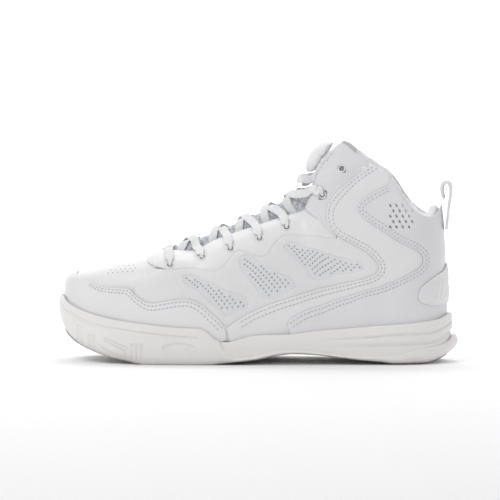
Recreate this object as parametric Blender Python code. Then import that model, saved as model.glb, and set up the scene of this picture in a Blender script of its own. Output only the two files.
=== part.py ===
"""A left cheerleading shoe, mid-top and laced, built as its separate pieces.

World frame in metres: toe to -X, heel to +X, lateral side to -Y, up is +Z, and the sole stands on Z = 0.
The upper is one smooth surface: s runs round the sole edge from the toe centre, positive along the lateral
side and negative along the medial side, and t runs up from the sole. Each panel is a shell on that surface.
"""

import bmesh
import bpy
import numpy as np
from mathutils import Vector
from mathutils.bvhtree import BVHTree
from mathutils.geometry import delaunay_2d_cdt

MM = 0.001

# Driving dimensions
GAP = 0.3 * MM                 # clear space between neighbouring pieces
SHEET = 1.1 * MM               # thickness of an upper panel
SOLE_WALL = 2.6 * MM           # thickness of the sole's side wall
FACET = 7.0 * MM               # longest side of a panel's facets
HEEL_S = 317 * MM              # half of the way round the sole edge
LACE_WIDTH = 5.8 * MM
LACE_THICK = 1.0 * MM
EYELET_RADIUS = 2.3 * MM
PULL_TAB_WIDTH = 15 * MM

# How far each layer's outer face lies outside the upper's surface
LINING_OUT = -5.3 * MM
PUFF_OUT = -4.1 * MM
VAMP_OUT = -2.6 * MM
QUARTER_OUT = -1.5 * MM
QUARTER_THICK = 0.8 * MM
EYESTAY_OUT = -1.2 * MM
WINDOW_OUT = -1.7 * MM
STRIPE_OUT = 0.3 * MM
FLAP_OUT = 0.5 * MM
REAR_OUT = 1.7 * MM
BADGE_OUT = 3.1 * MM

# Stations of the upper, in mm: way round the sole edge; sole edge x, lateral y, medial y; top edge x,
# lateral y, medial y, z; crown of the profile; 1 where the side is a wall; 1 where it closes over the foot
STATIONS = np.array([
    (0, -138.1, 7, 7, -98, 5, 5, 70.2, 1.10, 0, 1),
    (15, -135, -8, 20, -97, 5, 5, 70.4, 1.08, 0, 1),
    (33, -126, -22.5, 32, -94.5, 5, 5, 71, 1.05, 0, 1),
    (53, -111, -35.5, 41, -90, 5, 5, 72.1, 1.0, 0, 1),
    (77, -88, -44.5, 47, -80, 4.5, 4.5, 74.6, 0.92, 0, 1),
    (93, -73, -47.5, 48.8, -71.5, 4.1, 4.1, 77.9, 0.88, 0, 1),
    (105, -61, -48.5, 48.8, -62, -3.5, 11.5, 75.2, 0.85, 0, 0.6),
    (120, -46, -48.5, 46.5, -47, -7.5, 14.5, 76.6, 0.8, 0, 0.2),
    (136, -30, -47.5, 42.5, -31, -9, 15.5, 85.5, 0.75, 0, 0),
    (166, 0, -43.5, 37, -1, -11, 15.5, 96.3, 0.68, 0, 0),
    (190, 24, -40, 34, 24, -12.5, 15.5, 104.8, 0.65, 0.15, 0),
    (200, 34, -38.8, 33.5, 33.5, -14.5, 16.5, 108, 0.62, 0.3, 0),
    (206, 40, -38, 33.3, 37.2, -16.5, 18, 115, 0.62, 0.45, 0),
    (213, 47, -37.3, 33.2, 41.2, -18.5, 19.5, 132, 0.6, 0.62, 0),
    (219, 53, -36.6, 33.3, 48.5, -21.5, 22, 144, 0.6, 0.78, 0),
    (226, 60, -36, 33.5, 59, -25, 25, 153.6, 0.6, 0.9, 0),
    (236, 70, -35.3, 33.8, 70.5, -28, 27.5, 146.3, 0.6, 1, 0),
    (246, 80, -34.6, 34, 81, -30, 29, 138.8, 0.6, 1, 0),
    (256, 90, -34, 33.6, 91.3, -30.5, 29.5, 132.4, 0.6, 1, 0),
    (264, 98, -33.3, 32.8, 98, -30.3, 29.4, 123.5, 0.6, 1, 0),
    (270, 104, -32.3, 31.8, 103, -29.8, 29, 115.5, 0.6, 1, 0),
    (277, 110, -30.3, 29.8, 108.5, -28.6, 27.8, 109, 0.6, 1, 0),
    (284, 116.3, -27, 26.6, 114.6, -25.8, 25, 104.3, 0.6, 1, 0),
    (291, 121.8, -22.3, 22, 120.4, -20.8, 20.3, 102, 0.6, 1, 0),
    (297, 125.8, -17.5, 17.2, 124.3, -15.2, 14.9, 103, 0.6, 1, 0),
    (304, 129.3, -11, 10.9, 126.6, -8.8, 8.7, 106.5, 0.6, 1, 0),
    (317, 131.8, 0, 0, 127.7, 0, 0, 109.6, 0.6, 1, 0),
])
COLUMNS = ("bx", "by", "tx", "ty", "tz", "crown", "wall", "ridge")

# Heights along the shoe, in mm: pairs of x, z
RIDGE = [(-139, 62.3), (-128.6, 63.5), (-119.6, 65.7), (-105.8, 68.6), (-92, 72.1), (-76, 76.1),
         (-71, 78.1), (-50, 86)]
FOOTBED = [(-140, 31), (-130, 25), (-117, 19), (-104, 15), (-89, 12.5), (-73, 11.5), (-20, 11.5), (0, 13.5),
           (25, 17), (60, 18.5), (100, 20), (134, 21)]
GROUND = [(-141, 26), (-134, 19.5), (-127, 14.2), (-117, 9.8), (-104, 5.6), (-89, 2.6), (-73, 0), (-35, 0),
          (-16, 1.4), (2, 3.3), (15, 6), (28, 7.5), (43, 6.8), (60, 4.7), (74, 3), (88, 1.8), (98, 0.6),
          (118, 0.6), (126, 2), (131, 4.2), (141, 8)]
SOLE_TOP = [(-141, 45.4), (-136, 44), (-132, 40.3), (-126, 37.5), (-119, 35.1), (-106, 31.8), (-92, 29.4),
            (-78, 27.7), (-64, 26.3), (-50, 25.1), (-37, 24.6), (-33.5, 23.6), (-31, 21.9), (-27.7, 19.2),
            (-25, 17), (-22, 16.1), (-17, 16), (-9, 17.8), (-3.5, 19.6), (4, 20.6), (26, 21.3), (39, 23),
            (60, 24.9), (88, 27.2), (115, 29.2), (127, 30.6), (134, 33.5), (138, 34.5)]
RUBBER_TOP = [(-141, 45.4), (-136, 44), (-132, 40.3), (-126, 37.5), (-119, 35.1), (-106, 31.8), (-92, 29.4),
              (-78, 27.7), (-64, 26.3), (-50, 25.1), (-37, 24.6), (-33.5, 23.6), (-31, 21.9), (-27.7, 19.2),
              (-25, 17), (-22, 15.6), (-20, 11.3), (-16, 7.1), (-11, 5.2), (-2, 5.7), (5, 7.1), (12, 8.9),
              (19, 10.2), (32, 10.4), (46, 8.9), (60, 7.2), (74, 6.4), (88, 6.4), (102, 6.8), (107, 8.9),
              (114, 10.6), (122, 11.6), (129, 13), (134, 15), (138, 20.6)]

# Panel outlines seen from the lateral side, in mm: pairs of x, z
TOE_OVERLAY_EDGE = [(-128.6, 63.4), (-123, 59.7), (-116, 56.9), (-109, 54.1), (-102, 53.1), (-92, 52.8),
                    (-86.5, 52), (-83, 49.3), (-77.5, 45.1), (-74, 43.2), (-68, 42.7), (-62, 43.8),
                    (-50.5, 45.5), (-43.5, 45.3), (-38, 43.4), (-33, 40), (-28.5, 35.8), (-24, 32),
                    (-20.5, 27.9), (-19, 25), (-17.8, 17)]
STRIPE_EDGE = [(-17.9, 25.6), (-10.5, 31), (-1, 36.5), (12, 42), (25.5, 46.5), (39.5, 50.7), (53, 54.1),
               (67, 57.2), (81, 61), (84.5, 62.8), (86.5, 65), (87, 67.3), (85, 71.4), (82, 75), (78, 78.3),
               (67, 84.6), (57.5, 90), (54, 93.2), (51.8, 96.3), (50.4, 100.5), (50, 104.6), (50.5, 108.8),
               (54, 115.5), (61.5, 123.3), (67, 128), (76.5, 135), (81.5, 138.4)]
REAR_EDGE = [(93.3, 131.5), (93.3, 124.7), (88, 121.9), (82, 118.7), (76.5, 115), (73, 111.5), (71.6, 108),
             (74, 103.9), (78, 100.5), (90.5, 92.2), (98, 87), (104.5, 83.5), (110, 80.8), (114, 78),
             (116.2, 75), (116.8, 71.4), (115.5, 68.3), (112, 65.5), (101.5, 59.7), (95, 56.9), (88, 54.1),
             (74, 50.3), (60, 45.8), (46, 40.7), (32.5, 35.8), (28.3, 33.4), (25.2, 31), (23.9, 28.5),
             (24, 25.8), (26, 19)]
FLAP_FRONT = [(56, 152.2), (52.5, 149), (49.8, 145.6), (47.7, 142.4), (45, 138), (42, 133), (40, 126),
              (38.4, 120), (37, 114.3), (34.6, 108)]
FLAP_LOWER = [(34.6, 107.6), (38, 104.6), (42, 101.8), (46.3, 99), (50.5, 95), (54, 91.5), (58, 88.5)]
EYESTAY_LOWER = [(57, 87.7), (46.3, 88.7), (32.5, 89.7), (20, 89.7), (16, 86.6), (13, 82.5), (10.5, 78.3),
                 (8.3, 76.3), (-2, 77.6), (-7, 79.4), (-10.4, 79.7), (-13, 78.3), (-16, 75), (-18.7, 71.4),
                 (-22, 68), (-25, 66.3), (-31, 65.9), (-42, 67.6), (-57.5, 67), (-70, 69.5)]
QUARTER_FRONT = [(-71.5, 66.5), (-76, 60), (-80.2, 57.6), (-82.6, 54), (-83, 50), (-81.6, 46.5), (-78, 41)]
WINDOWS = [
    [(-47.7, 62.4), (-43.6, 62.8), (-33.2, 59), (-19.4, 52.1), (-4.1, 45.1), (-3.5, 42.4), (-4.5, 39.3),
     (-10.4, 37.2), (-18.7, 34.4), (-21.4, 36.9), (-32.5, 46.5), (-37.3, 51.4), (-43.6, 55.2),
     (-47.7, 57.6)],
    [(-9, 75.6), (-5.5, 76.3), (6.2, 70), (20, 62.8), (28.3, 58.3), (29.7, 54.1), (27, 52.1), (11.8, 45.8),
     (7.6, 46.5), (4.8, 48.6), (2, 53.4), (-6.2, 64.5), (-9, 68), (-9.7, 72.1)],
    [(24.9, 84.9), (37.3, 80.8), (54.6, 75.6), (72.6, 71.4), (75.4, 69.7), (76.1, 67.3), (74, 65.5),
     (60.2, 62.8), (47.7, 59.3), (42.9, 59), (40, 60.4), (35.3, 67.3), (27, 75.6), (20.7, 81.1),
     (22, 83.2)],
]
BADGE_EDGE = [(129.3, 65.2), (123.8, 60.7), (118.9, 56.9), (115.5, 53.8), (113.4, 50), (113, 46.5),
              (114, 43.8), (118.2, 41.7), (123.8, 40.7), (129.3, 41)]
BADGE_TOP_Z = 69
BADGE_LOW_Z = 42
EYELETS = [(-58.1, 69.7), (-36.3, 74.9), (-16.6, 80.8), (3.5, 87.7), (22.1, 95.3), (47, 117.4), (60.8, 135.7)]
# Places round the sole edge where the rubber cup drops
CUP_END = np.array([133, 137, 140, 142.5, 144.2, 146, 148, 151, 155]) * MM
LACED = 6                      # the last eyelet of each side is left empty

# The tongue's middle line over the instep: way round the sole edge, x, z, in mm
TONGUE_LINE = [(96, -69.5, 75.5), (105, -61, 78), (120, -45.5, 83.5), (136, -30, 89.5), (166, -3, 101),
               (190, 17, 111), (200, 25, 116), (205, 28.5, 121)]
TONGUE_THICK = 4.5 * MM
# The padded top of the tongue: x, z of its front face, half width, thickness, in mm
TONGUE_UPPER = [(30.2, 122.6, 10, 4.6), (31.6, 127, 11.5, 5.4), (33.2, 131.6, 13, 6.2)]
TONGUE_TOP = [(33.6, 132.6, 13, 6.4), (36, 140, 14.5, 8.5), (38.4, 146, 16, 10.5), (40.6, 149.4, 16.8, 11.5),
              (43.4, 152, 16, 10), (46.4, 153.5, 13, 6)]
TONGUE_HINGE = (34.4, 0, 132.1)   # the fold under the padded top

WHITE = (0.80, 0.80, 0.81)
RUBBER_WHITE = (0.78, 0.77, 0.77)
GREY = (0.55, 0.56, 0.58)


# Curves and the upper's surface

def through(knots, values, at):
    """A smooth curve through the points that never overshoots them."""
    step = np.diff(knots)
    slope = np.diff(values) / step
    both = slope[:-1] * slope[1:]
    weight_a = 2 * step[1:] + step[:-1]
    weight_b = step[1:] + 2 * step[:-1]
    safe = np.where(both > 0, both, 1)
    middle = np.where(both > 0, (weight_a + weight_b) * safe / (weight_a * slope[1:] + weight_b * slope[:-1]
                      + np.where(both > 0, 0, 1)), 0)
    tangent = np.concatenate([slope[:1], middle, slope[-1:]])
    at = np.clip(at, knots[0], knots[-1])
    i = np.clip(np.searchsorted(knots, at, side="right") - 1, 0, len(step) - 1)
    u = (at - knots[i]) / step[i]
    return (values[i] * (1 + 2 * u) * (1 - u) ** 2 + tangent[i] * step[i] * u * (1 - u) ** 2
            + values[i + 1] * u * u * (3 - 2 * u) + tangent[i + 1] * step[i] * u * u * (u - 1))


def height(pairs, x):
    """The height at x, in metres, on a curve given as pairs in mm."""
    line = np.array(pairs, float) * MM
    return through(line[:, 0], line[:, 1], np.asarray(x, float))


def station_tables():
    """Each column of the stations over the whole way round, with an overlap past the heel."""
    rows = STATIONS.copy()
    rows[:, :8] *= MM
    lateral = rows[:, [0, 1, 2, 4, 5, 7, 8, 9, 10]]
    medial = rows[:, [0, 1, 3, 4, 6, 7, 8, 9, 10]].copy()
    medial[:, 0] *= -1
    after = medial.copy()
    after[:, 0] += 2 * HEEL_S
    before = lateral.copy()
    before[:, 0] -= 2 * HEEL_S
    every = np.concatenate([before, medial, lateral, after])
    every = every[np.argsort(every[:, 0], kind="stable")]
    keep = np.concatenate([[True], np.diff(every[:, 0]) > 1e-6])
    every = every[keep]
    return every[:, 0], {name: every[:, i + 1] for i, name in enumerate(COLUMNS)}


KNOTS, TABLE = station_tables()


def upper(s, t):
    """Points of the upper's surface."""
    s, t = np.broadcast_arrays(np.asarray(s, float), np.asarray(t, float))
    at = {name: through(KNOTS, TABLE[name], s) for name in COLUMNS}
    crown = at["crown"]
    across = 3 * (1 - t) * t * t * (1 - crown) + t ** 3
    up = 3 * (1 - t) ** 2 * t * crown + 3 * (1 - t) * t * t + t ** 3
    wall = at["wall"]
    across = across + wall * (0.55 * t + 0.45 * t ** 4 - across)
    up = up + wall * (t - up)
    x = at["bx"] + (at["tx"] - at["bx"]) * across
    y = at["by"] + (at["ty"] - at["by"]) * across
    low = height(FOOTBED, at["bx"])
    top = at["tz"] + at["ridge"] * (height(RIDGE, x) - at["tz"])
    return np.stack([x, y, low + (top - low) * up], axis=-1)


def skin(s, t, out):
    """Points that lie out outside the upper's surface."""
    s, t = np.broadcast_arrays(np.asarray(s, float), np.asarray(t, float))
    step = 0.4 * MM
    along = upper(s + step, t) - upper(s - step, t)
    rise = upper(s, np.clip(t + 0.004, 0, 1)) - upper(s, np.clip(t - 0.004, 0, 1))
    normal = np.cross(along, rise)
    normal /= np.linalg.norm(normal, axis=-1, keepdims=True)
    return upper(s, t) + normal * np.asarray(out, float)[..., None]


def surface_tree():
    """The lateral half of the upper as a search tree, with the s and t of its faces' middles."""
    ways = np.linspace(0, 1.08 * HEEL_S, 150)
    ups = np.linspace(0, 1, 50)
    points = upper(ways[:, None], ups[None, :]).reshape(-1, 3)
    faces, middles = [], []
    for i in range(len(ways) - 1):
        for j in range(len(ups) - 1):
            a = i * len(ups) + j
            faces.append((a, a + len(ups), a + len(ups) + 1, a + 1))
            middles.append(((ways[i] + ways[i + 1]) / 2, (ups[j] + ups[j + 1]) / 2))
    return BVHTree.FromPolygons(points.tolist(), faces), middles


TREE, MIDDLES = surface_tree()


def on_surface(x, z):
    """The s and t of the lateral point seen at x, z from the side."""
    hit = TREE.ray_cast(Vector((x, -1, z)), Vector((0, 1, 0)))
    if hit[2] is None:
        hit = TREE.find_nearest(Vector((x, 5 * MM, z)))
        return MIDDLES[hit[2]]
    s, t = MIDDLES[hit[2]]
    for _ in range(5):
        here = upper(s, t)[[0, 2]]
        ds = (upper(s + 1e-4, t)[[0, 2]] - here) / 1e-4
        dt = (upper(s, t + 1e-3)[[0, 2]] - here) / 1e-3
        move = np.linalg.solve(np.array([ds, dt]).T + np.eye(2) * 1e-9, np.array([x, z]) - here)
        s += float(np.clip(move[0], -0.004, 0.004))
        t += float(np.clip(move[1], -0.05, 0.05))
    return s, min(max(t, 0.0), 1.0)


def traced(pairs):
    """An outline given in mm, as s and t."""
    return [on_surface(x * MM, z * MM) for x, z in pairs]


def up_to(s, z):
    """The t at which the upper reaches height z at s."""
    ups = np.linspace(0, 1, 400)
    return float(np.interp(z, upper(s, ups)[:, 2], ups))


def tucked(s, below=3 * MM):
    """The t at which a panel ends behind the sole's side wall at s."""
    x = float(upper(s, 0.05)[0])
    return up_to(s, max(float(height(SOLE_TOP, x)) - below, float(height(FOOTBED, x)) + 1.2 * MM))


def over_bed(s, clear=1.2 * MM):
    """The t at which the upper is this far above the footbed at s."""
    return up_to(s, float(upper(s, 0.0)[2]) + clear)


# Meshes

def colour_material(name, colour, rough):
    material = bpy.data.materials.new(name)
    material.use_nodes = True
    shader = material.node_tree.nodes["Principled BSDF"]
    shader.inputs["Base Color"].default_value = (*colour, 1)
    shader.inputs["Roughness"].default_value = rough
    return material


def add_node(name, points, faces, colour=WHITE, rough=0.5, smooth=True):
    mesh = bpy.data.meshes.new(name)
    mesh.from_pydata(np.asarray(points, float).tolist(), [], [list(map(int, face)) for face in faces])
    mesh.materials.append(colour_material(name, colour, rough))
    if smooth:
        mesh.shade_smooth()
    made = bpy.data.objects.new(name, mesh)
    bpy.context.scene.collection.objects.link(made)
    return made


def with_sides(faces, count):
    """Faces of a closed shell: the outer sheet, the same sheet turned round as the inner one, and the rim."""
    edges = {}
    for face in faces:
        for a, b in zip(face, face[1:] + face[:1]):
            edges[(a, b)] = True
    rim = [(b, a, a + count, b + count) for a, b in edges if (b, a) not in edges]
    return faces + [tuple(i + count for i in reversed(face)) for face in faces] + rim


def shell(name, way, rise, faces, out, thick=SHEET, colour=WHITE, rough=0.5):
    """A closed panel of the given thickness whose outer face lies out outside the upper."""
    way, rise = np.asarray(way, float), np.asarray(rise, float)
    out = out(way, rise) if callable(out) else np.full(len(way), out)
    points = np.concatenate([skin(way, rise, out), skin(way, rise, out - thick)])
    return add_node(name, points, with_sides(faces, len(way)), colour, rough)


def inside(outline, points):
    """Whether each point is inside the outline."""
    x, y = points[:, 0], points[:, 1]
    found = np.zeros(len(points), bool)
    ring = np.asarray(outline)
    for (ax, ay), (bx, by) in zip(ring, np.roll(ring, -1, axis=0)):
        crosses = (ay > y) != (by > y)
        level = np.where(crosses, (bx - ax) * (y - ay) / (by - ay if by != ay else 1) + ax, 0)
        found ^= crosses & (x < level)
    return found


def distance_to(outline, points):
    """The distance of each point from the outline."""
    ring = np.asarray(outline)
    nearest = np.full(len(points), np.inf)
    for a, b in zip(ring, np.roll(ring, -1, axis=0)):
        along = b - a
        share = np.clip(((points - a) @ along) / max(along @ along, 1e-18), 0, 1)
        nearest = np.minimum(nearest, np.linalg.norm(points - a - share[:, None] * along, axis=1))
    return nearest


def subdivided(outline, longest):
    """The outline with points added so that no side is longer than this."""
    found = []
    ring = np.asarray(outline, float)
    for a, b in zip(ring, np.roll(ring, -1, axis=0)):
        count = max(1, int(np.ceil(np.linalg.norm(b - a) / longest)))
        found += [a + (b - a) * i / count for i in range(count)]
    return np.array(found)


def profile_length(s):
    """How long the upper's profile is at s."""
    line = upper(np.asarray(s)[:, None], np.linspace(0, 1, 24)[None, :])
    return np.linalg.norm(np.diff(line, axis=1), axis=2).sum(axis=1)


def flat(pairs):
    """s and t laid out flat at about their real lengths."""
    pairs = np.asarray(pairs, float)
    return np.stack([pairs[:, 0], pairs[:, 1] * profile_length(pairs[:, 0])], axis=1)


def meshed(outline, holes=(), facet=FACET):
    """s, t and triangles of a panel from its outline and holes in s and t."""
    rings = [subdivided(flat(outline), facet)] + [subdivided(flat(hole), facet) for hole in holes]
    low, high = rings[0].min(axis=0), rings[0].max(axis=0)
    rows = [
        (x + (row % 2) * facet / 2, y)
        for row, y in enumerate(np.arange(low[1], high[1], facet * 0.87))
        for x in np.arange(low[0], high[0], facet)
    ]
    grid = np.array(rows)
    keep = inside(rings[0], grid) & (distance_to(rings[0], grid) > 0.5 * facet)
    for ring in rings[1:]:
        keep &= ~inside(ring, grid) & (distance_to(ring, grid) > 0.4 * facet)
    points = np.concatenate([*rings, grid[keep]])
    edges, start = [], 0
    for ring in rings:
        edges += [(start + i, start + (i + 1) % len(ring)) for i in range(len(ring))]
        start += len(ring)
    made = delaunay_2d_cdt([Vector(p) for p in points], edges, [], 0, 1e-7)
    points = np.array([tuple(p) for p in made[0]])
    faces = np.array([face for face in made[2] if len(face) == 3])
    middles = points[faces].mean(axis=1)
    keep = inside(rings[0], middles)
    for ring in rings[1:]:
        keep &= ~inside(ring, middles)
    faces = faces[keep]
    used = np.unique(faces)
    renumber = np.zeros(len(points), int)
    renumber[used] = np.arange(len(used))
    points = points[used]
    rise = np.clip(points[:, 1] / profile_length(points[:, 0]), 0, 1)
    return points[:, 0], rise, [tuple(f) for f in renumber[faces].tolist()]


def panel_pair(name, outline, out, holes=(), facet=FACET, **more):
    """The lateral and medial panels of one outline."""
    way, rise, faces = meshed(outline, holes, facet)
    shell(name + "_lateral", way, rise, faces, out, **more)
    turned = [tuple(reversed(face)) for face in faces]
    shell(name + "_medial", -way, rise, turned, out, **more)


def ring_of(s, t, radius, sides=8):
    """A round hole on the upper, as s and t."""
    length = float(profile_length(np.array([s]))[0])
    return [
        (s + radius * np.cos(a), t + radius * np.sin(a) / length)
        for a in np.arange(sides) * 2 * np.pi / sides
    ]


def over_the_ridge(name, ways, low, out, thick, colour=WHITE, rows=7):
    """A shell over the toe from low on one side to low on the other, joined along the ridge."""
    both = np.concatenate([-ways[::-1], ways[1:]])
    way = np.repeat(both, rows)
    rise = np.concatenate([np.linspace(low(abs(s)), 1, rows) for s in both])
    count = len(both)
    number = np.arange(count * rows)
    for i in range(count // 2):
        if ways[-1 - i] <= 93.1 * MM:
            number[i * rows + rows - 1] = (count - 1 - i) * rows + rows - 1
    faces = []
    for i in range(count - 1):
        for j in range(rows - 1):
            a = i * rows + j
            face = [number[k] for k in (a, a + rows, a + rows + 1, a + 1)]
            face = [k for n, k in enumerate(face) if k != face[n - 1]]
            if len(face) > 2:
                faces.append(face)
    used = sorted({k for face in faces for k in face})
    place = {k: n for n, k in enumerate(used)}
    faces = [tuple(place[k] for k in face) for face in faces]
    return shell(name, way[used], rise[used], faces, out, thick, colour)


def stacked(name, rings, colour=WHITE, rough=0.5):
    """A solid from closed rings of points, first to last, with a strip across each end."""
    count = len(rings[0])
    faces = []
    for k in range(len(rings) - 1):
        for i in range(count):
            j = (i + 1) % count
            a, b, c, d = k * count + i, k * count + j, (k + 1) * count + j, (k + 1) * count + i
            faces += [(a, b, c), (a, c, d)] if i < count // 2 else [(a, b, d), (b, c, d)]
    last = (len(rings) - 1) * count
    for i in range(count // 2):
        a, b = i, (i + 1) % count
        c, d = (count - i - 1) % count, (count - i) % count
        quad = [a, b, c, d]
        quad = [k for n, k in enumerate(quad) if k != quad[n - 1]]
        if len(quad) > 2:
            faces.append(tuple(reversed(quad)))
            faces.append(tuple(k + last for k in quad))
    return add_node(name, np.concatenate(rings), faces, colour, rough)


# The sole

def inner_wall(s):
    """How far outside the upper's surface the inner face of the sole's side wall lies at s."""
    way = np.abs((np.asarray(s) + HEEL_S) % (2 * HEEL_S) - HEEL_S)
    return np.interp(way, [0, 0.05, 0.075, 0.1, 0.165, 0.186, HEEL_S],
                     np.array([-0.6, -0.5, 0.5, 0.9, 0.9, 2.2, 2.2]) * MM)


def sole_ways(count, extra=()):
    """Places round the sole edge, the same on both sides, with extra ones where a height changes fast."""
    even = np.linspace(0, HEEL_S, count // 2 + 1)
    far = [way for way in even if all(abs(way - other) > 2.2 * MM for other in extra)]
    way = np.array(sorted([*far, *extra]))
    return np.concatenate([way, -way[1:-1][::-1]])


def sole_ring(ways, out, z):
    """A ring round the shoe, out outside the inner face of the side wall, at height z of x."""
    base = upper(ways, 0.0)
    normal = skin(ways, 0.02, 1.0) - upper(ways, 0.02)
    normal[:, 2] = 0
    normal /= np.linalg.norm(normal, axis=1, keepdims=True)
    reach = inner_wall(ways) + (out(ways) if callable(out) else out)
    points = base + normal * reach[:, None]
    points[:, 2] = z(points[:, 0])
    return points


def flare(most):
    """Extra width of the heel rubber, growing towards the back."""
    return lambda s: most * np.clip((np.abs(s) / HEEL_S - 0.78) / 0.22, 0, 1) ** 2


def blend_heights(low, high, share, raised=0.0):
    return lambda x: height(low, x) * (1 - share) + height(high, x) * share + raised


def rubber_rings(ways, grown):
    """The outsole's rings, from under the sole round the edge and down inside, grown on every side."""
    edge = SOLE_WALL

    def outer(extra, most):
        return lambda s: edge + extra + flare(most)(s)

    def floor(x):
        thickness = np.minimum(height(RUBBER_TOP, x) - height(GROUND, x) - 0.6 * MM, 3.2 * MM)
        return height(GROUND, x) + np.maximum(thickness, 1.2 * MM)

    return [
        sole_ring(ways, -16 * MM, lambda x: height(GROUND, x) - grown),
        sole_ring(ways, outer(-5.5 * MM, 0), lambda x: height(GROUND, x) - grown),
        sole_ring(ways, outer(-1.3 * MM + grown, 2.2 * MM),
                  blend_heights(GROUND, RUBBER_TOP, 0.16, 0.6 * MM - grown)),
        sole_ring(ways, outer(0.2 * MM + grown, 3.9 * MM), blend_heights(GROUND, RUBBER_TOP, 0.5)),
        sole_ring(ways, outer(grown, 2.6 * MM), blend_heights(GROUND, RUBBER_TOP, 0.86)),
        sole_ring(ways, outer(-0.7 * MM + grown, 1.4 * MM), lambda x: height(RUBBER_TOP, x) + grown),
        sole_ring(ways, -grown, lambda x: height(RUBBER_TOP, x) - 0.25 * MM + grown),
        sole_ring(ways, -0.4 * MM - grown, lambda x: floor(x) + grown),
        sole_ring(ways, -16 * MM, lambda x: floor(x) + grown),
    ]


def midsole_top(x):
    """Height of the midsole's edge: the sole line behind the rubber cup, the footbed inside it."""
    cup = np.clip((x + 25 * MM) / (3.5 * MM), 0, 1)
    inner = height(FOOTBED, x) - 1.6 * MM
    return inner + (height(SOLE_TOP, x) - inner) * cup


def add_sole():
    ways = sole_ways(64, CUP_END)
    stacked("outsole", rubber_rings(ways, 0.0), RUBBER_WHITE, 0.55)
    cutter = stacked("outsole_space", rubber_rings(ways, 1.5 * GAP), RUBBER_WHITE)
    cutter.hide_render = True
    cutter.display_type = "WIRE"
    bed = lambda x: height(FOOTBED, x) - 1.8 * MM
    bottom = lambda x: height(GROUND, x) + 0.9 * MM
    level = lambda share, raised: lambda x: height(GROUND, x) * (1 - share) + midsole_top(x) * share + raised

    def foot(x):
        behind = np.clip((x + 24 * MM) / (3 * MM), 0, 1)
        cup = blend_heights(GROUND, RUBBER_TOP, 0.25, 0.8 * MM)(x)
        return level(0.22, 0.5 * MM)(x) * (1 - behind) + cup * behind

    def side(out):
        return lambda s: np.interp(np.abs(s), [0.140, 0.1425], [-0.8 * MM, SOLE_WALL + out])

    rings = [
        sole_ring(ways, -16 * MM, bottom),
        sole_ring(ways, side(-1.0 * MM), foot),
        sole_ring(ways, side(0.1 * MM), level(0.6, 0)),
        sole_ring(ways, side(-0.5 * MM), midsole_top),
        sole_ring(ways, lambda s: np.interp(np.abs(s), [0.140, 0.1425], [-1.2 * MM, 0]),
                  lambda x: midsole_top(x) - 0.2 * MM),
        sole_ring(ways, lambda s: np.interp(np.abs(s), [0.140, 0.1425], [-1.6 * MM, -0.6 * MM]), bed),
        sole_ring(ways, -16 * MM, bed),
    ]
    midsole = stacked("midsole", rings, RUBBER_WHITE, 0.5)
    cut = midsole.modifiers.new("outsole_space", "BOOLEAN")
    cut.operation = "DIFFERENCE"
    cut.solver = "EXACT"
    cut.object = cutter
    ways = sole_ways(44)
    plate("strobel_board", ways, 5 * MM, -1.4 * MM, 0.2 * MM, GREY)
    plate("sockliner", ways, 7.6 * MM, 0.5 * MM, 4.5 * MM, GREY)


def plate(name, ways, inset, low, high, colour):
    """A board on the footbed, inset from the upper's surface, between two heights over the footbed."""
    under = lambda x: height(FOOTBED, x) + low
    over = lambda x: height(FOOTBED, x) + high
    stacked(name, [
        sole_ring(ways, lambda s: -inner_wall(s) - inset - 8 * MM, under),
        sole_ring(ways, lambda s: -inner_wall(s) - inset, under),
        sole_ring(ways, lambda s: -inner_wall(s) - inset, over),
        sole_ring(ways, lambda s: -inner_wall(s) - inset - 8 * MM, over),
    ], colour, 0.8)


# The upper

def toe_overlay_out(way, rise):
    """The toe overlay lies on the vamp in front and on the quarter behind."""
    return np.interp(np.abs(way), [0.060, 0.080], [-1.2 * MM, STRIPE_OUT])


def flap_out(way, rise):
    """The flap lies on the eyestay in front and under the stripe behind."""
    point = upper(way, rise)
    line = np.array(STRIPE_EDGE[15:], float) * MM
    edge = np.interp(point[:, 2], line[:, 1], line[:, 0])
    edge = edge + np.maximum(point[:, 2] - line[-1, 1], 0) * 2
    return FLAP_OUT - 1.7 * MM * np.clip((point[:, 0] - edge + 12 * MM) / (6 * MM), 0, 1)


def add_toe():
    ways = np.array([0, 8, 16, 25, 34, 44, 54, 66, 78, 87, 93, 97]) * MM
    over_the_ridge("vamp", ways, lambda s: up_to(s, float(np.interp(s, [0, 0.097], [0.046, 0.036]))),
                   VAMP_OUT, SHEET)
    front = np.array([0, 8, 16, 25, 34, 44, 50]) * MM
    over_the_ridge("toe_puff", front, over_bed, PUFF_OUT, 0.6 * MM, GREY, 7)
    over_the_ridge("vamp_lining", ways[:-2], over_bed, LINING_OUT, SHEET, GREY, 7)
    edge = traced(TOE_OVERLAY_EDGE)
    edge[0] = (0.0, edge[0][1])
    end = edge[-1][0]
    bottom = [(s, tucked(s)) for s in np.linspace(end, -end, 40)]
    outline = edge + bottom[1:-1] + [(-s, t) for s, t in reversed(edge[1:])]
    way, rise, faces = meshed(list(reversed(outline)))
    shell("toe_overlay", way, rise, faces, toe_overlay_out)


def eyelet_places():
    return traced(EYELETS)


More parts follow.
